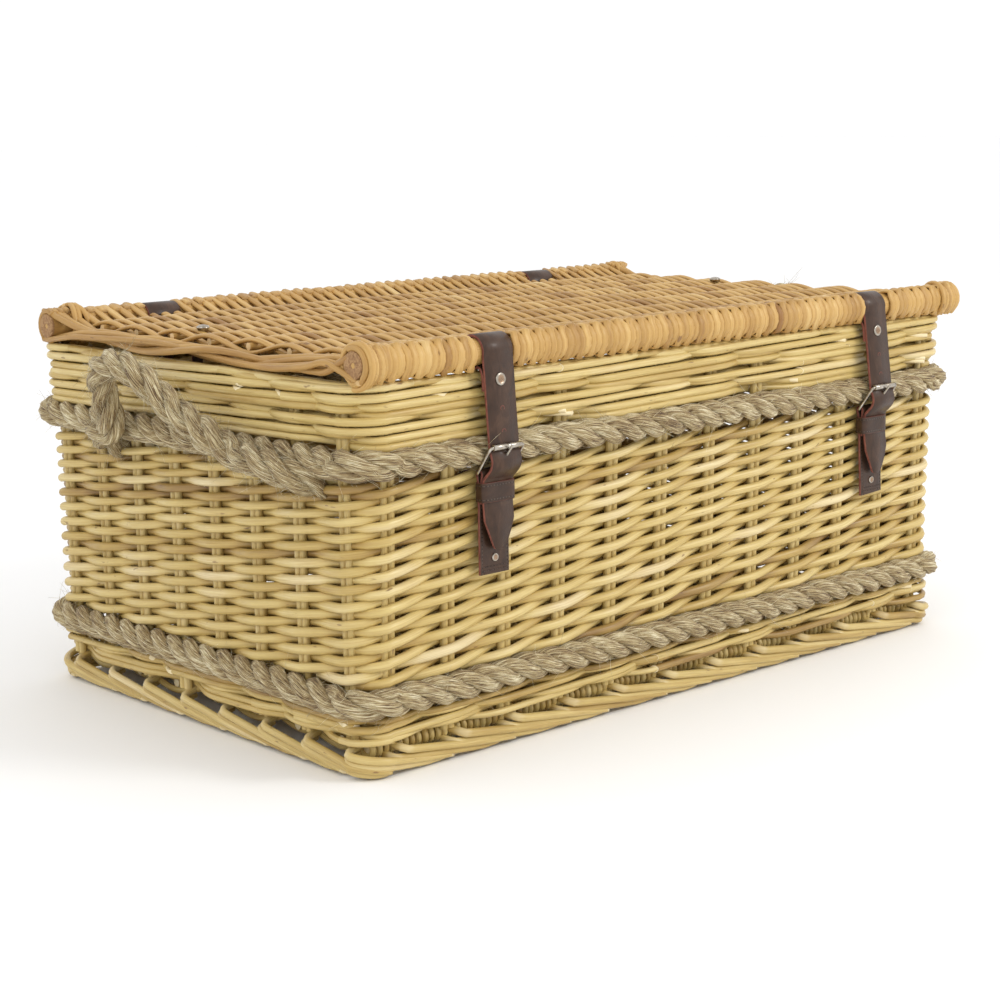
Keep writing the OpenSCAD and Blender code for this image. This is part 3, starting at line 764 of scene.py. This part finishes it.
def make_base():
    b = Bundle(51)
    x = np.linspace(-337, 337, 30)
    for y in (*BASE_STICKS, -EDGE_STICK, EDGE_STICK):
        path = xyz(x, y + b.wander(x * 0.02, 0.8), BASE_Z + b.wander(x * 0.02, 0.3))
        b.rod(path, 5.0 if abs(y) == EDGE_STICK else 4.0, b.shade(0.4, 0.12))
    b.piece("base_sticks", WILLOW)

    b = Bundle(52)
    sticks = np.array([-EDGE_STICK, *BASE_STICKS, EDGE_STICK])
    inner = np.linspace(-EDGE_STICK, EDGE_STICK, 66)[2:-2]
    wave = 5.4 * np.cos(math.pi * np.interp(inner, sticks, np.arange(len(sticks))))
    turn = np.linspace(0.15, 1.5, 10) * math.pi
    wrap_y = EDGE_STICK + 7.6 * np.sin(turn)
    wrap_z = 6.4 * np.cos(turn)
    y = np.concatenate([-wrap_y[::-1], inner, wrap_y])
    rise = np.concatenate([wrap_z[::-1], wave, wrap_z])
    for j in range(BASE_WEAVERS):
        x0 = -341 + 682 * (j + 0.5) / BASE_WEAVERS
        radius = b.rng.uniform(2.4, 2.9)
        path = xyz(x0 + b.wander(y * 0.02, 0.8), y, BASE_Z - (1 if j % 2 else -1) * rise)
        b.rod(path, radius, b.shade(0.42, 0.14), ref=X_AXIS, sides=8)
    b.piece("base_weave", WILLOW)


make_base()


# ---------- rope ----------

ROPE_STRAND = 5.85
ROPE_HELIX = 6.1
ROPE_LAY = 72.0
YARNS = 7
FIBRE_ROOT = 10.4
BAND_SAMPLES = 821
BANDS = (("lower_rope_band", 60.0, 61), ("upper_rope_band", 242.0, 62))  # name, height and seed


def lay_rope(bundles, path, up, hairs, loop=0.0, breaks=(), scale=1.0, end_cut=None):
    """Three strands laid round path, each with its own yarns, cut into one stretch for each (bundle, fuzz)
    pair. up is a direction square to the path at each point. loop is the path's length round, where its end
    lies on its start. scale thins the rope."""
    t = tangents(path)
    side = unit(np.cross(t, up))
    up = np.cross(side, t)
    s = lengths(path)
    pitch = ROPE_LAY * scale
    if loop:
        pitch = loop / (round(loop / pitch * 3) / 3)
    sides = 4 * YARNS
    lobes = 1 + 0.085 * np.cos(YARNS * circle(sides))
    cuts = [0, *breaks, len(path) - 1]
    for strand in range(3):
        a = 2 * math.pi * (s / pitch + strand / 3)
        radial = np.sin(a)[:, None] * side + np.cos(a)[:, None] * up
        centre = path + radial * ROPE_HELIX * scale
        st = tangents(centre)
        su = unit(radial - st * np.sum(radial * st, axis=1, keepdims=True))
        turn = 0.10 * lengths(centre) / scale
        place = bundles[0][0].rng.uniform(-GRAIN_SPREAD, GRAIN_SPREAD, 3)
        for (b, _), i, j in zip(bundles, cuts[:-1], cuts[1:]):
            k = slice(i, j + 1)
            b.rod(
                centre[k], ROPE_STRAND * scale, 0.5, frames=(st[k], su[k]), sides=sides, lobes=lobes,
                turn=turn[k], end_cut=end_cut, start=(place, s[i]),
            )
    for (b, fuzz), i, j in zip(bundles, cuts[:-1], cuts[1:]):
        for k in b.rng.integers(i + 1, j - 1, hairs * (j - i) // len(path)):
            add_fibre(b.rng, fuzz, path[k], t[k], scale)


def add_fibre(rng, fuzz, place, along, scale):
    """One loose fibre that stands off the rope at place."""
    out = unit(rng.normal(size=3))
    out = unit(out - along * (out @ along))
    root = place + out * FIBRE_ROOT * scale + along * rng.uniform(-1, 1)
    way = along * rng.choice([-1, 1]) * rng.uniform(0.5, 1.6) + out * rng.uniform(0.05, 0.6)
    way = unit(way + rng.normal(size=3) * 0.3)
    bend = rng.normal(size=3) * 0.55
    length = min(rng.gamma(2.2, 3.2) + 3, 24)
    q = np.linspace(0, 1, 5)[:, None]
    hair = root + way * length * q + bend * length * q**2 * 0.5
    tone = float(rng.uniform(0.45, 1.0))
    ref = unit(np.cross(way, bend) + 1e-3)
    fuzz.rod(hair, np.linspace(0.18, 0.09, 5), tone, ref=ref, sides=3, end_cut=None)


def make_rope_bands():
    ring = Ring(round_mm=14, turn_mm=16)
    place = np.arange(BAND_SAMPLES)
    fade = np.minimum(1, np.minimum(place, place[::-1]) / 40)
    for name, z, seed in BANDS:
        b, fuzz = Bundle(seed), Bundle(seed + 10)
        line = even(ring.at(26.0 + np.linspace(0, PAIRS, 900), 8.0, z), BAND_SAMPLES)
        line[:, 2] += fade * b.wander(np.linspace(0, 2 * math.pi * 6, BAND_SAMPLES), 0.8, waves=(1, 2, 3))
        loop = float(lengths(line)[-1])
        lay_rope([(b, fuzz)], np.vstack([line, line[1:5]]), Z_AXIS, hairs=2600, loop=loop)
        b.piece(name, ROPE)
        fuzz.piece(name + "_fibres", ROPE, extra=True)


make_rope_bands()


# ---------- lid ----------

ROD_Z = 317.0
ROD_R = 10.8
FRONT_ROD, BACK_ROD = -223.0, 205.0
LID_MIDDLE = (FRONT_ROD + BACK_ROD) / 2
LID_STICKS = 7
LID_HALF = 338.0
LID_PITCH = 6.3
STRAP_X = {"left": -229.0, "right": 236.0}
HINGE_X = {"left": -244.0, "right": 224.0}
ROD_WRAP, END_WRAP = 12.5, 12.9
WEAVER_THICK, WEAVER_WIDE = 2.05, 3.65
END_RODS = 7
# A rod's end face, as (radius, distance past the end), with its pith in the middle
END_FACE = (
    (ROD_R - 0.3, -1.8), (ROD_R - 0.25, 0.1), (ROD_R - 0.9, 0.7), (6.0, 0.5), (2.4, 0.3),
    (1.6, -0.5), (0.1, -0.6),
)
ROD_TIES = {
    # rod, first x, last x, turns, radius, thickness, slack, lean
    "left": (
        (FRONT_ROD, -340, -354, 2.4, 13.2, 2.1, 0.5, 0.0),
        (FRONT_ROD, -347, -357, 1.3, 13.8, 2.3, 2.6, 2.5),
        (FRONT_ROD, -356, -352, 1.2, 14.2, 2.2, 3.4, -2.0),
        (BACK_ROD, -338, -328, 2.2, 16.4, 2.0, 0.8, 4.5),
        (BACK_ROD, -329, -337, 1.2, 16.8, 2.0, 0.8, -5.5),
    ),
    "right": (
        (FRONT_ROD, 340, 354, 2.6, 13.0, 2.1, 0.1, 0.0),
        (FRONT_ROD, 334, 341, 1.2, 14.2, 2.2, 1.0, 2.5),
        (BACK_ROD, 340, 348, 1.4, 13.3, 2.2, 0.6, 0.0),
        (BACK_ROD, 349, 343, 1.2, 13.8, 2.2, 0.8, 3.5),
    ),
}


def make_lid_rods():
    x = np.linspace(-357.0, 357.0, 60)
    for k, (name, y) in enumerate((("lid_front_rod", FRONT_ROD), ("lid_back_rod", BACK_ROD))):
        b = Bundle(70 + k)
        path = xyz(x, y + b.wander(x * 0.01, 0.03), ROD_Z + b.wander(x * 0.01, 0.03))
        radius = ROD_R - 0.1 + b.wander(x * 0.02, 0.02)
        radius[-1] -= 1.2
        radius[0] -= 0.5
        b.rod(path, radius, 0.42, sides=32, end_cut=0.0)
        b.piece(name, LID_WILLOW, "lid")
        b = Bundle(72 + k)
        for s in (-1, 1):
            b.lathe((s * 358.0, y, ROD_Z), (s, 0, 0), END_FACE, 0.4)
        b.piece(name + "_ends", END_GRAIN, "lid", extra=True)


def lid_weaver(b, x0, sign, front, back):
    """One weaver of the lid. It passes over or under each stick, and wraps round a rod where front or back
    is true."""
    ys = np.linspace(FRONT_ROD, BACK_ROD, LID_STICKS + 2)
    side = sign * np.where(np.arange(LID_STICKS + 2) % 2, 1.0, -1.0)
    ends = []
    for rod, out, wrapped, reach in ((0, -1, front, 16.5), (-1, 1, back, 16.0)):
        if wrapped:
            turn = np.linspace(b.rng.uniform(-0.7, -0.35), math.pi - 0.25, 10)
            y = ys[rod] + out * ROD_WRAP * np.sin(turn)
            z = ROD_Z - side[rod] * ROD_WRAP * np.cos(turn)
            ends.append(xyz(np.linspace(b.rng.uniform(-0.8, 0.8), 0, 10), y, z))
        else:
            ends.append(np.array([[0, ys[rod] - out * reach, ROD_Z + side[rod] * 3.5]]))
    middle = xyz(0.0, ys[1:-1], ROD_Z + side[1:-1] * 4.9)
    path = smooth_path(np.vstack([ends[0], middle, ends[1][::-1]]), 92)
    path[:, 0] += x0 + b.wander(path[:, 1] * 0.03, 0.75)
    t = tangents(path)
    up = unit(np.cross(X_AXIS, t))
    on_rod = np.clip((np.abs(path[:, 1] - LID_MIDDLE) - 196) / 12, 0, 1)
    thick = (WEAVER_THICK - 0.3 * on_rod) * b.rng.uniform(0.92, 1.08)
    wide = (WEAVER_WIDE / WEAVER_THICK) * (1 + 0.25 * on_rod) * b.rng.uniform(0.95, 1.04)
    b.rod(path, thick, b.shade(0.5, 0.15), frames=(t, up), wide=wide, end_cut=0.5)


def make_lid_weave():
    count = int(2 * LID_HALF / LID_PITCH)
    for part in range(2):
        b = Bundle(80 + part)
        for j in range(part * count // 2, (part + 1) * count // 2):
            x = -LID_HALF + (j + 0.5) * 2 * LID_HALF / count
            front = min(abs(x - strap) for strap in STRAP_X.values()) > 18.0
            back = min(abs(x - hinge) for hinge in HINGE_X.values()) > 20.0
            lid_weaver(b, x + b.rng.uniform(-0.35, 0.35), 1 if j % 2 else -1, front, back)
        b.piece(numbered("lid_weave", part), LID_WILLOW, "lid", extra=part > 0)
    b = Bundle(82)
    for y in np.linspace(FRONT_ROD, BACK_ROD, LID_STICKS + 2)[1:-1]:
        b.rod(xyz(np.linspace(-335, 335, 40), y, ROD_Z), 3.1, b.shade(0.45, 0.12))
    b.piece("lid_sticks", LID_WILLOW, "lid")


def tie_rod(b, rod_y, x0, x1, turns, radius, thick, slack, lean):
    """A thin rod wound round one of the lid's rods between x0 and x1."""
    q = np.linspace(0, 1, int(turns * 26) + 2)
    a = 2 * math.pi * turns * q + b.rng.uniform(0, 6.28)
    r = radius + slack * (0.5 + 0.5 * np.sin(a * 0.5 + b.rng.uniform(0, 6.28)))
    path = xyz(x0 + (x1 - x0) * q + lean * np.sin(a), rod_y + r * np.sin(a), ROD_Z + r * np.cos(a))
    spoke = xyz(0.0, np.sin(a), np.cos(a))
    t = tangents(path)
    up = unit(spoke - t * np.sum(spoke * t, axis=1, keepdims=True))
    b.rod(path, thick, b.shade(0.52, 0.12), frames=(t, up), wide=1.3, end_cut=0.6)


def make_end_bands():
    y = np.linspace(FRONT_ROD, BACK_ROD, 110)
    q = (y - FRONT_ROD) / (BACK_ROD - FRONT_ROD)
    turn = np.linspace(-0.5, math.pi - 0.35, 9)
    for s, side in ((-1, "left"), (1, "right")):
        b = Bundle(90 + s)
        for k in range(END_RODS):
            a = 2 * math.pi * (b.rng.uniform(1.3, 2.3) * q + b.rng.uniform()) + b.wander(y * 0.02, 0.4)
            x = s * (342.0 + 2.5 * k + 4.6 * np.sin(a))
            sag = 6.6 * np.sin(math.pi * q) ** 0.6
            z = ROD_Z - 0.5 - sag + 4.3 * np.cos(a) + b.wander(y * 0.03, 0.6)
            over = END_WRAP if k % 2 else -END_WRAP
            hooks = []
            for end, rod_y, out in ((0, FRONT_ROD, -END_WRAP), (-1, BACK_ROD, END_WRAP)):
                hook_x = x[end] * 0.25 + s * (340 + 2.6 * k) * 0.75
                hooks.append(xyz(hook_x, rod_y + out * np.sin(turn), ROD_Z - over * np.cos(turn)))
            path = smooth_path(np.vstack([hooks[0], xyz(x, y, z)[7:-7:6], hooks[1][::-1]]), 130)
            b.rod(path, 2.8 * b.rng.uniform(0.85, 1.08), b.shade(0.42, 0.2), ref=X_AXIS, end_cut=0.4)
        for tie in ROD_TIES[side]:
            tie_rod(b, *tie)
        b.piece("lid_end_band_" + side, LID_WILLOW, "lid")


make_lid_rods()
make_lid_weave()
make_end_bands()


# ---------- leather and metal ----------

# Places are (y, z).
HEEL = (-229.4, 224.0)
ROLLER = (-245.4, 246.0)
STRAP_HALF, STRAP_THICK = 15.0, 2.9
STRAP_LEAN = {"left": 0.0, "right": 0.055}
LEAN_Z = 235.0  # where a leaning strap crosses its own middle
STRAP_RIVET_Z = 296.5
STRAP_LOOP = 12.3
PUNCHED = ((2.3, -0.4), (2.25, 0.12), (1.5, 0.18), (1.3, -0.1), (0.2, -0.25))
STUD_TOP = ((4.6, -1.5), (5.4, 0.2), (5.5, 0.9), (5.0, 1.7), (3.4, 2.5), (1.6, 2.9), (0.1, 3.0))
STUD_FOOT = ((3.2, -0.6), (3.9, 0.2), (4.0, 0.8), (3.2, 1.5), (0.1, 1.8))
PEG_HEAD = ((2.0, -1.2), (4.2, -0.8), (4.5, 0.0), (4.2, 0.7), (2.6, 1.1), (0.1, 1.2))
STAY_X, STUD_Y = 314.0, 30.0
PEG = (60.0, 268.0)
OPEN_DEGREES = 100.0


def turn_about(y, z, radius, first, last, count):
    """Points on a circle in the (y, z) plane, its angles in degrees from +Y toward +Z."""
    a = np.radians(np.linspace(first, last, count))
    return np.stack([y + radius * np.cos(a), z + radius * np.sin(a)], axis=1).tolist()


def flat_path(rows, count, x):
    """A smoothed line through rows of (y, z), at x."""
    fine = smooth_path([[0.0, *row] for row in rows], count)
    fine[:, 0] = x
    return fine


def rivet(b, place, axis, radius=4.4, high=1.3, worn=0.9):
    """A capped rivet: a bright rim round a dished, worn middle."""
    rim = [(0.8, -0.5), (0.98, 0.1), (1, high * 0.4), (0.93, high * 0.8), (0.8, high)]
    dish = [(0.66, high * 0.9, 0.5, worn * 0.5), (0.5, high * 0.6, 0.5, worn), (0.2, high * 0.62, 0.5, worn)]
    profile = [(radius * row[0], *row[1:]) for row in rim + dish]
    b.lathe(place, axis, profile + [(0.15, high * 0.65, 0.5, worn)])


def make_strap(side):
    """The strap, one ribbon from its inner end round the lid's rod and down to its tip."""
    x, lean, name = STRAP_X[side], STRAP_LEAN[side], "strap_" + side
    b = Bundle(100 + (side == "left"))
    rows = [[-235.0, 288.0], [-234.7, 294.0], [-233.6, 301.0], [-231.6, 304.6]]
    rows += turn_about(FRONT_ROD, ROD_Z, STRAP_LOOP, 246, 550, 22)
    rows += [[-235.5, 309.0], [-236.4, 302.0], [-238.0, 284.0], [-240.0, 262.0], [-241.1, 250.0]]
    rows += [[-241.6, 244.0], [-243.4, 239.6], [-244.6, 234.5], [-243.0, 229.0], [-238.6, 224.2]]
    rows += [[-235.0, 220.6], [-233.7, 216.0], [-233.5, 208.0], [-233.6, 199.0], [-234.6, 188.0]]
    rows += [[-235.0, 176.0], [-234.4, 164.0]]
    path = flat_path(rows, 190, x)
    s = lengths(path)
    from_tip = s[-1] - s
    half = np.minimum(STRAP_HALF, 4.2 + 10.8 * np.clip(from_tip / 24.0, 0, 1) ** 0.85)
    tip = from_tip < 2.0
    half[tip] = np.sqrt(np.clip(from_tip[tip] / 2.0, 0.03, 1)) * half[~tip][-1]
    path[:, 0] += 0.25 * np.sin(s * 0.03) - lean * (path[:, 2] - LEAN_Z)
    b.strip(path, X_AXIS, half, STRAP_THICK)
    b.piece(name, LEATHER, name)
    b = Bundle(104 + (side == "left"))
    for y, z in ((-241.55, 257.0), (-240.0, 274.5)):
        b.lathe((x - lean * (z - LEAN_Z), y - 0.25, z), (0, -1, 0), PUNCHED, 0.9, 0.55, 20)
    b.piece(name + "_holes", LEATHER, name, extra=True)
    b = Bundle(108)
    rivet_x = x - lean * (STRAP_RIVET_Z - LEAN_Z)
    rivet(b, (rivet_x, -238.3, STRAP_RIVET_Z), (0, -1, 0.09), 5.0)
    rivet(b, (rivet_x, -232.9, STRAP_RIVET_Z), (0, 1, -0.09), 4.2, 1.1)
    b.piece("strap_rivet_" + side, STEEL, name)


def make_chape(side):
    """The leather that holds the buckle, with its stitched foot, and the keeper round it."""
    x, lean = STRAP_X[side], STRAP_LEAN[side]
    b = Bundle(112)
    rows = [[-228.1, 145.0], [-228.1, 180.0], [-228.1, 206.0], [-227.9, 216.5]]
    rows += turn_about(*HEEL, 2.9, -10, 190, 11)
    rows += [[-231.3, 217.0], [-230.7, 212.0], [-230.7, 201.0]]
    path = flat_path(rows, 90, x)
    path[:, 0] -= lean * (path[:, 2] - HEEL[1])
    b.strip(path, X_AXIS, STRAP_HALF, 2.7)
    for z in (148.0, 151.0):
        for i in range(11):
            middle = x - 12 - lean * (z - HEEL[1]) + 2.4 * i
            stitch = xyz(middle + np.array([-0.8, 0.0, 0.8]), [-229.5, -229.8, -229.5], z)
            b.rod(stitch, 0.32, 0.22, sides=6, end_cut=0.0)
    b.piece("chape_" + side, LEATHER)
    b = Bundle(116)
    a = np.linspace(0, 2 * math.pi, 72, endpoint=False)
    px = np.sign(np.cos(a)) * np.abs(np.cos(a)) ** 0.32 * 16.3
    py = np.sign(np.sin(a)) * np.abs(np.sin(a)) ** 0.42 * 5.1
    b.strip(even_loop(xyz(x + px, -230.9 + py, 210.1), 96)[::-1], Z_AXIS, 7.6, 1.7, groove=0.0, closed=True)
    b.piece("keeper_" + side, LEATHER)


def make_buckle(side):
    x = STRAP_X[side]
    b = Bundle(120)
    up = unit(np.array([0.0, ROLLER[0] - HEEL[0], ROLLER[1] - HEEL[1]]))
    rise = math.hypot(ROLLER[0] - HEEL[0], ROLLER[1] - HEEL[1])
    wide, bend = 14.6, 2.4  # the corners' middles, and their radius
    top = rise - bend
    corners = []
    for cx, cv, first in ((wide, top, 0), (-wide, top, 90), (-wide, bend, 180), (wide, bend, 270)):
        corners += turn_about(cx, cv, bend, first, first + 90, 8)
    u, v = np.array(corners).T
    loop = even_loop(xyz(x + u, HEEL[0] + up[1] * v, HEEL[1] + up[2] * v), 140)
    face = np.cross(X_AXIS, up)
    inward = np.cross(unit(np.roll(loop, -1, 0) - np.roll(loop, 1, 0)), face)
    angle = circle(14)[:, None]
    ring = loop[:, None] + 1.3 * (np.cos(angle) * inward[:, None] + np.sin(angle) * face)
    b.loft(ring, 0.5, ring * MM, closed=True)
    b.piece("buckle_frame_" + side, STEEL, "buckle_" + side)

    b = Bundle(124)
    half = [(2.1, 1.6), (2.35, 2.2), (2.35, 14.3), (2.1, 14.6), (1.45, 14.6)]
    b.lathe((x, *ROLLER), X_AXIS, [(r, -d) for r, d in half[::-1]] + half)
    b.piece("roller_" + side, STEEL, "roller_" + side)

    b = Bundle(128)
    eye = turn_about(*HEEL, 2.75, 150, -215, 22)
    b.rod(flat_path(eye, 40, x), 1.05, 0.5, ref=X_AXIS, wide=1.5, end_cut=0.0)
    tip = [[-231.0, 226.5], [-236.0, 231.2], [-242.4, 237.6], [-247.4, 242.9], [-249.9, 245.6]]
    tip += [[-250.2, 247.4]]
    radius = np.interp(np.linspace(0, 1, 40), [0, 0.7, 1], [1.35, 1.3, 0.7])
    b.rod(flat_path(tip, 40, x), radius, 0.5, ref=X_AXIS, sides=12, wide=1.15, end_cut=0.0)
    b.piece("prong_" + side, STEEL, "prong_" + side)


def make_strap_backing():
    b = Bundle(130)
    for x in STRAP_X.values():
        b.strip(flat_path([[-205.15, z] for z in (145.5, 185, 223.5)], 40, x), X_AXIS, STRAP_HALF, 2.2)
    b.piece("backing_strips", LEATHER)
    b = Bundle(131)
    for x in STRAP_X.values():
        rivet(b, (x + (3.6 if x > 0 else 0.0), -229.5, 157.5), (0, -1, 0), 3.3, 1.1)
        for z in (157.5, 210.0):
            rivet(b, (x, -203.9, z), (0, 1, 0), 4.2, 1.2)
    b.piece("chape_rivets", STEEL)


def make_hinges():
    for side, x in HINGE_X.items():
        b = Bundle(134)
        rows = [[230.6, 258.0], [230.6, 280.0], [230.6, 300.5], [227.3, 306.0], [220.4, 308.7]]
        rows += turn_about(BACK_ROD, ROD_Z, STRAP_LOOP, -28, 248, 20)
        rows += [[205.4, 303.6], [208.0, 299.5], [208.8, 290.0], [208.8, 275.0], [208.8, 258.0]]
        b.strip(flat_path(rows, 120, x), X_AXIS, 17.0, 2.4)
        b.piece("hinge_loop_" + side, LEATHER)
    b = Bundle(136)
    for x in HINGE_X.values():
        rivet(b, (x, 231.85, 276.0), (0, 1, 0))
        rivet(b, (x, 207.55, 276.0), (0, -1, 0))
    b.piece("hinge_rivets", STEEL)


def make_stay_ends():
    b = Bundle(138)
    for s in (-1, 1):
        b.lathe((s * STAY_X, STUD_Y, 323.6), Z_AXIS, STUD_TOP)
        b.lathe((s * STAY_X, STUD_Y, 306.9), -Z_AXIS, STUD_FOOT)
    b.piece("stay_lid_studs", STEEL, "lid")
    b = Bundle(139)
    for s in (-1, 1):
        b.rod(xyz(np.linspace(306.2, 345.0, 16) * s, *PEG), 2.0, 0.5, sides=14)
        b.lathe((s * 307.0, *PEG), (-s, 0, 0), PEG_HEAD, 0.55)
    b.piece("stay_wall_pegs", WILLOW)


def open_lid(point):
    """Where a (y, z) point of the lid is with the lid open."""
    a = math.radians(OPEN_DEGREES)
    y, z = point[0] - BACK_ROD, point[1] - ROD_Z
    return np.array([BACK_ROD + y * math.cos(a) + z * math.sin(a), ROD_Z - y * math.sin(a) + z * math.cos(a)])


def ease_in(w):
    """The t at which a smooth step from 0 to 1 has reached w."""
    low, high = 0.0, 1.0
    for _ in range(30):
        t = (low + high) / 2
        low, high = (t, high) if t * t * (3 - 2 * t) < w else (low, t)
    return low


def stay_shares(line, lid_held, peg_held):
    """How far each point of a stay goes with the lid, from 1 at its stud to 0 at its peg."""
    s = lengths(line)
    stud, peg = 10, np.array(PEG)
    taut = open_lid(line[stud, 1:]) - peg
    share = []
    for length, point in zip(s, line[:, 1:]):
        want = peg + taut * np.clip((s[-peg_held] - length) / (s[-peg_held] - s[stud]), 0, 1)
        chord = open_lid(point) - point
        share.append(float(np.clip((want - point) @ chord / (chord @ chord), 0, 1)))
    share = np.minimum.accumulate(np.array(share))
    share[:lid_held] = 1.0
    share[-peg_held:] = 0.0
    return share


def make_stay(side):
    """A leather thong that hangs slack from the lid to its peg, made in stretches. For each stretch, the
    share by which it would bend between trunk and lid is worked out, so that the whole thong would pull
    straight as the lid opens; no bend is made from it."""
    rows = [[21.5, 308.0], [31.0, 308.0], [36.5, 307.0], [39.8, 301.0], [39.6, 270.0], [39.0, 230.0]]
    rows += [[39.6, 180.0], [41.5, 164.0], [50.0, 156.0], [58.5, 164.0], [60.4, 180.0], [61.0, 230.0]]
    rows += [[60.8, 256.0]] + turn_about(*PEG, 3.1, -60, 200, 8)
    line = flat_path(rows, 201, (-1 if side == "left" else 1) * STAY_X)
    lid_held, peg_held = 14, 25
    share = stay_shares(line, lid_held, peg_held)
    cuts = np.linspace(lid_held - 1, len(line) - peg_held, 15).astype(int).tolist()
    cuts = [0, *cuts, len(line) - 1]
    for k, (i, j) in enumerate(zip(cuts[:-1], cuts[1:])):
        b = Bundle(140)
        b.strip(line[i : j + 1], X_AXIS, 5.0, 1.9, groove=0.0)
        start, end = ease_in(share[i]), ease_in(share[j])
        if abs(end - start) < 1e-4:
            body = "lid" if start > 0.5 else "trunk"
        else:
            way = (line[j] - line[i]) / (end - start)
            body = ("trunk", "lid", line[i] - way * start, line[i] + way * (1 - start))
        b.piece(numbered("lid_stay_" + side, k), LEATHER, body, extra=k > 0)


for one in ("left", "right"):
    make_strap(one)
    make_chape(one)
    make_buckle(one)
    make_stay(one)
make_strap_backing()
make_hinges()
make_stay_ends()


# ---------- rope handles ----------

HANDLE_X, HANDLE_Z, HANDLE_LEAN = -378.7, 240.0, math.radians(22)
APEX = (20, 68)
KNOT_SIZE, KNOT_ROPE = 3.2, 0.48
KNOT_X, KNOT_Z, KNOT_YS = -322.5, 219.0, (-168.0, 106.0)


def arch_point(u, v):
    return [HANDLE_X - v * math.sin(HANDLE_LEAN), u, HANDLE_Z + v * math.cos(HANDLE_LEAN)]


def handle_points():
    """The left handle's route, from the knot inside the wall at its front foot to the one at its back."""
    points = [[-328, -168, 219], [-345, -168, 221.5], [-361, -167.5, 227.0], [-371, -161, 231.5]]
    points += [[-376.5, -146, 236.0], [-378.6, -130, 239.4], [HANDLE_X, -117, 240.2], [HANDLE_X, -103, 241.0]]
    arch = [(-86, 10.5), (-66, 20), (-45, 30), (-30, 42), (-14, 55), (3, 64.5), APEX, (37, 65.5), (50, 56)]
    points += [arch_point(u, v) for u, v in arch + [(58, 42), (62, 27), (66, 13)]]
    points += [[HANDLE_X, 74, 242.0], [HANDLE_X, 86, 240.0], [-376.8, 95, 237.6], [-370.0, 101, 233.5]]
    return points + [[-359, 104.5, 228.0], [-345, 106, 221.5], [-328, 106, 219]]


def make_handle(side):
    """A rope whose ends pass through the wall to a knot inside, made as two halves that meet at its middle.
    Its middle would swing and turn in its feet, but the halves are not made to.
    """
    mirror = np.array([-1.0 if side == "right" else 1.0, 1, 1])
    path = smooth_path(np.array(handle_points(), float) * mirror, 330)
    middle = int(np.argmin(np.linalg.norm(path - np.array(arch_point(*APEX)) * mirror, axis=1)))
    halves = [(Bundle(150), Bundle(151)), (Bundle(152), Bundle(153))]
    lay_rope(halves, path, carried_up(path, Z_AXIS), hairs=1500, breaks=(middle,), end_cut=0.6)
    x = HANDLE_X * mirror[0]
    for k, (fixed_y, free_y) in enumerate(((-120, -104), (100, 87))):
        body = ("trunk", "handle_" + side, (x, fixed_y, HANDLE_Z), (x, free_y, HANDLE_Z))
        name = numbered("handle_" + side, k)
        rope, fuzz = halves[k]
        rope.piece(name, ROPE, body, extra=k > 0)
        fuzz.piece(name + "_fibres", ROPE, body, extra=True)
    rope, fuzz = Bundle(156), Bundle(157)
    a = np.linspace(0, 2 * math.pi, 121)
    trefoil = xyz(-1.0 * np.sin(3 * a), np.sin(a) + 2 * np.sin(2 * a), np.cos(a) - 2 * np.cos(2 * a))
    for y in KNOT_YS:
        knot = (trefoil * KNOT_SIZE + np.array([KNOT_X, y, KNOT_Z])) * mirror
        lay_rope([(rope, fuzz)], knot, carried_up(knot, Y_AXIS), hairs=60, scale=KNOT_ROPE, end_cut=0.6)
    name = "handle_tails_" + side
    rope.piece(name, ROPE)
    fuzz.piece(name + "_fibres", ROPE, extra=True)


make_handle("left")
make_handle("right")
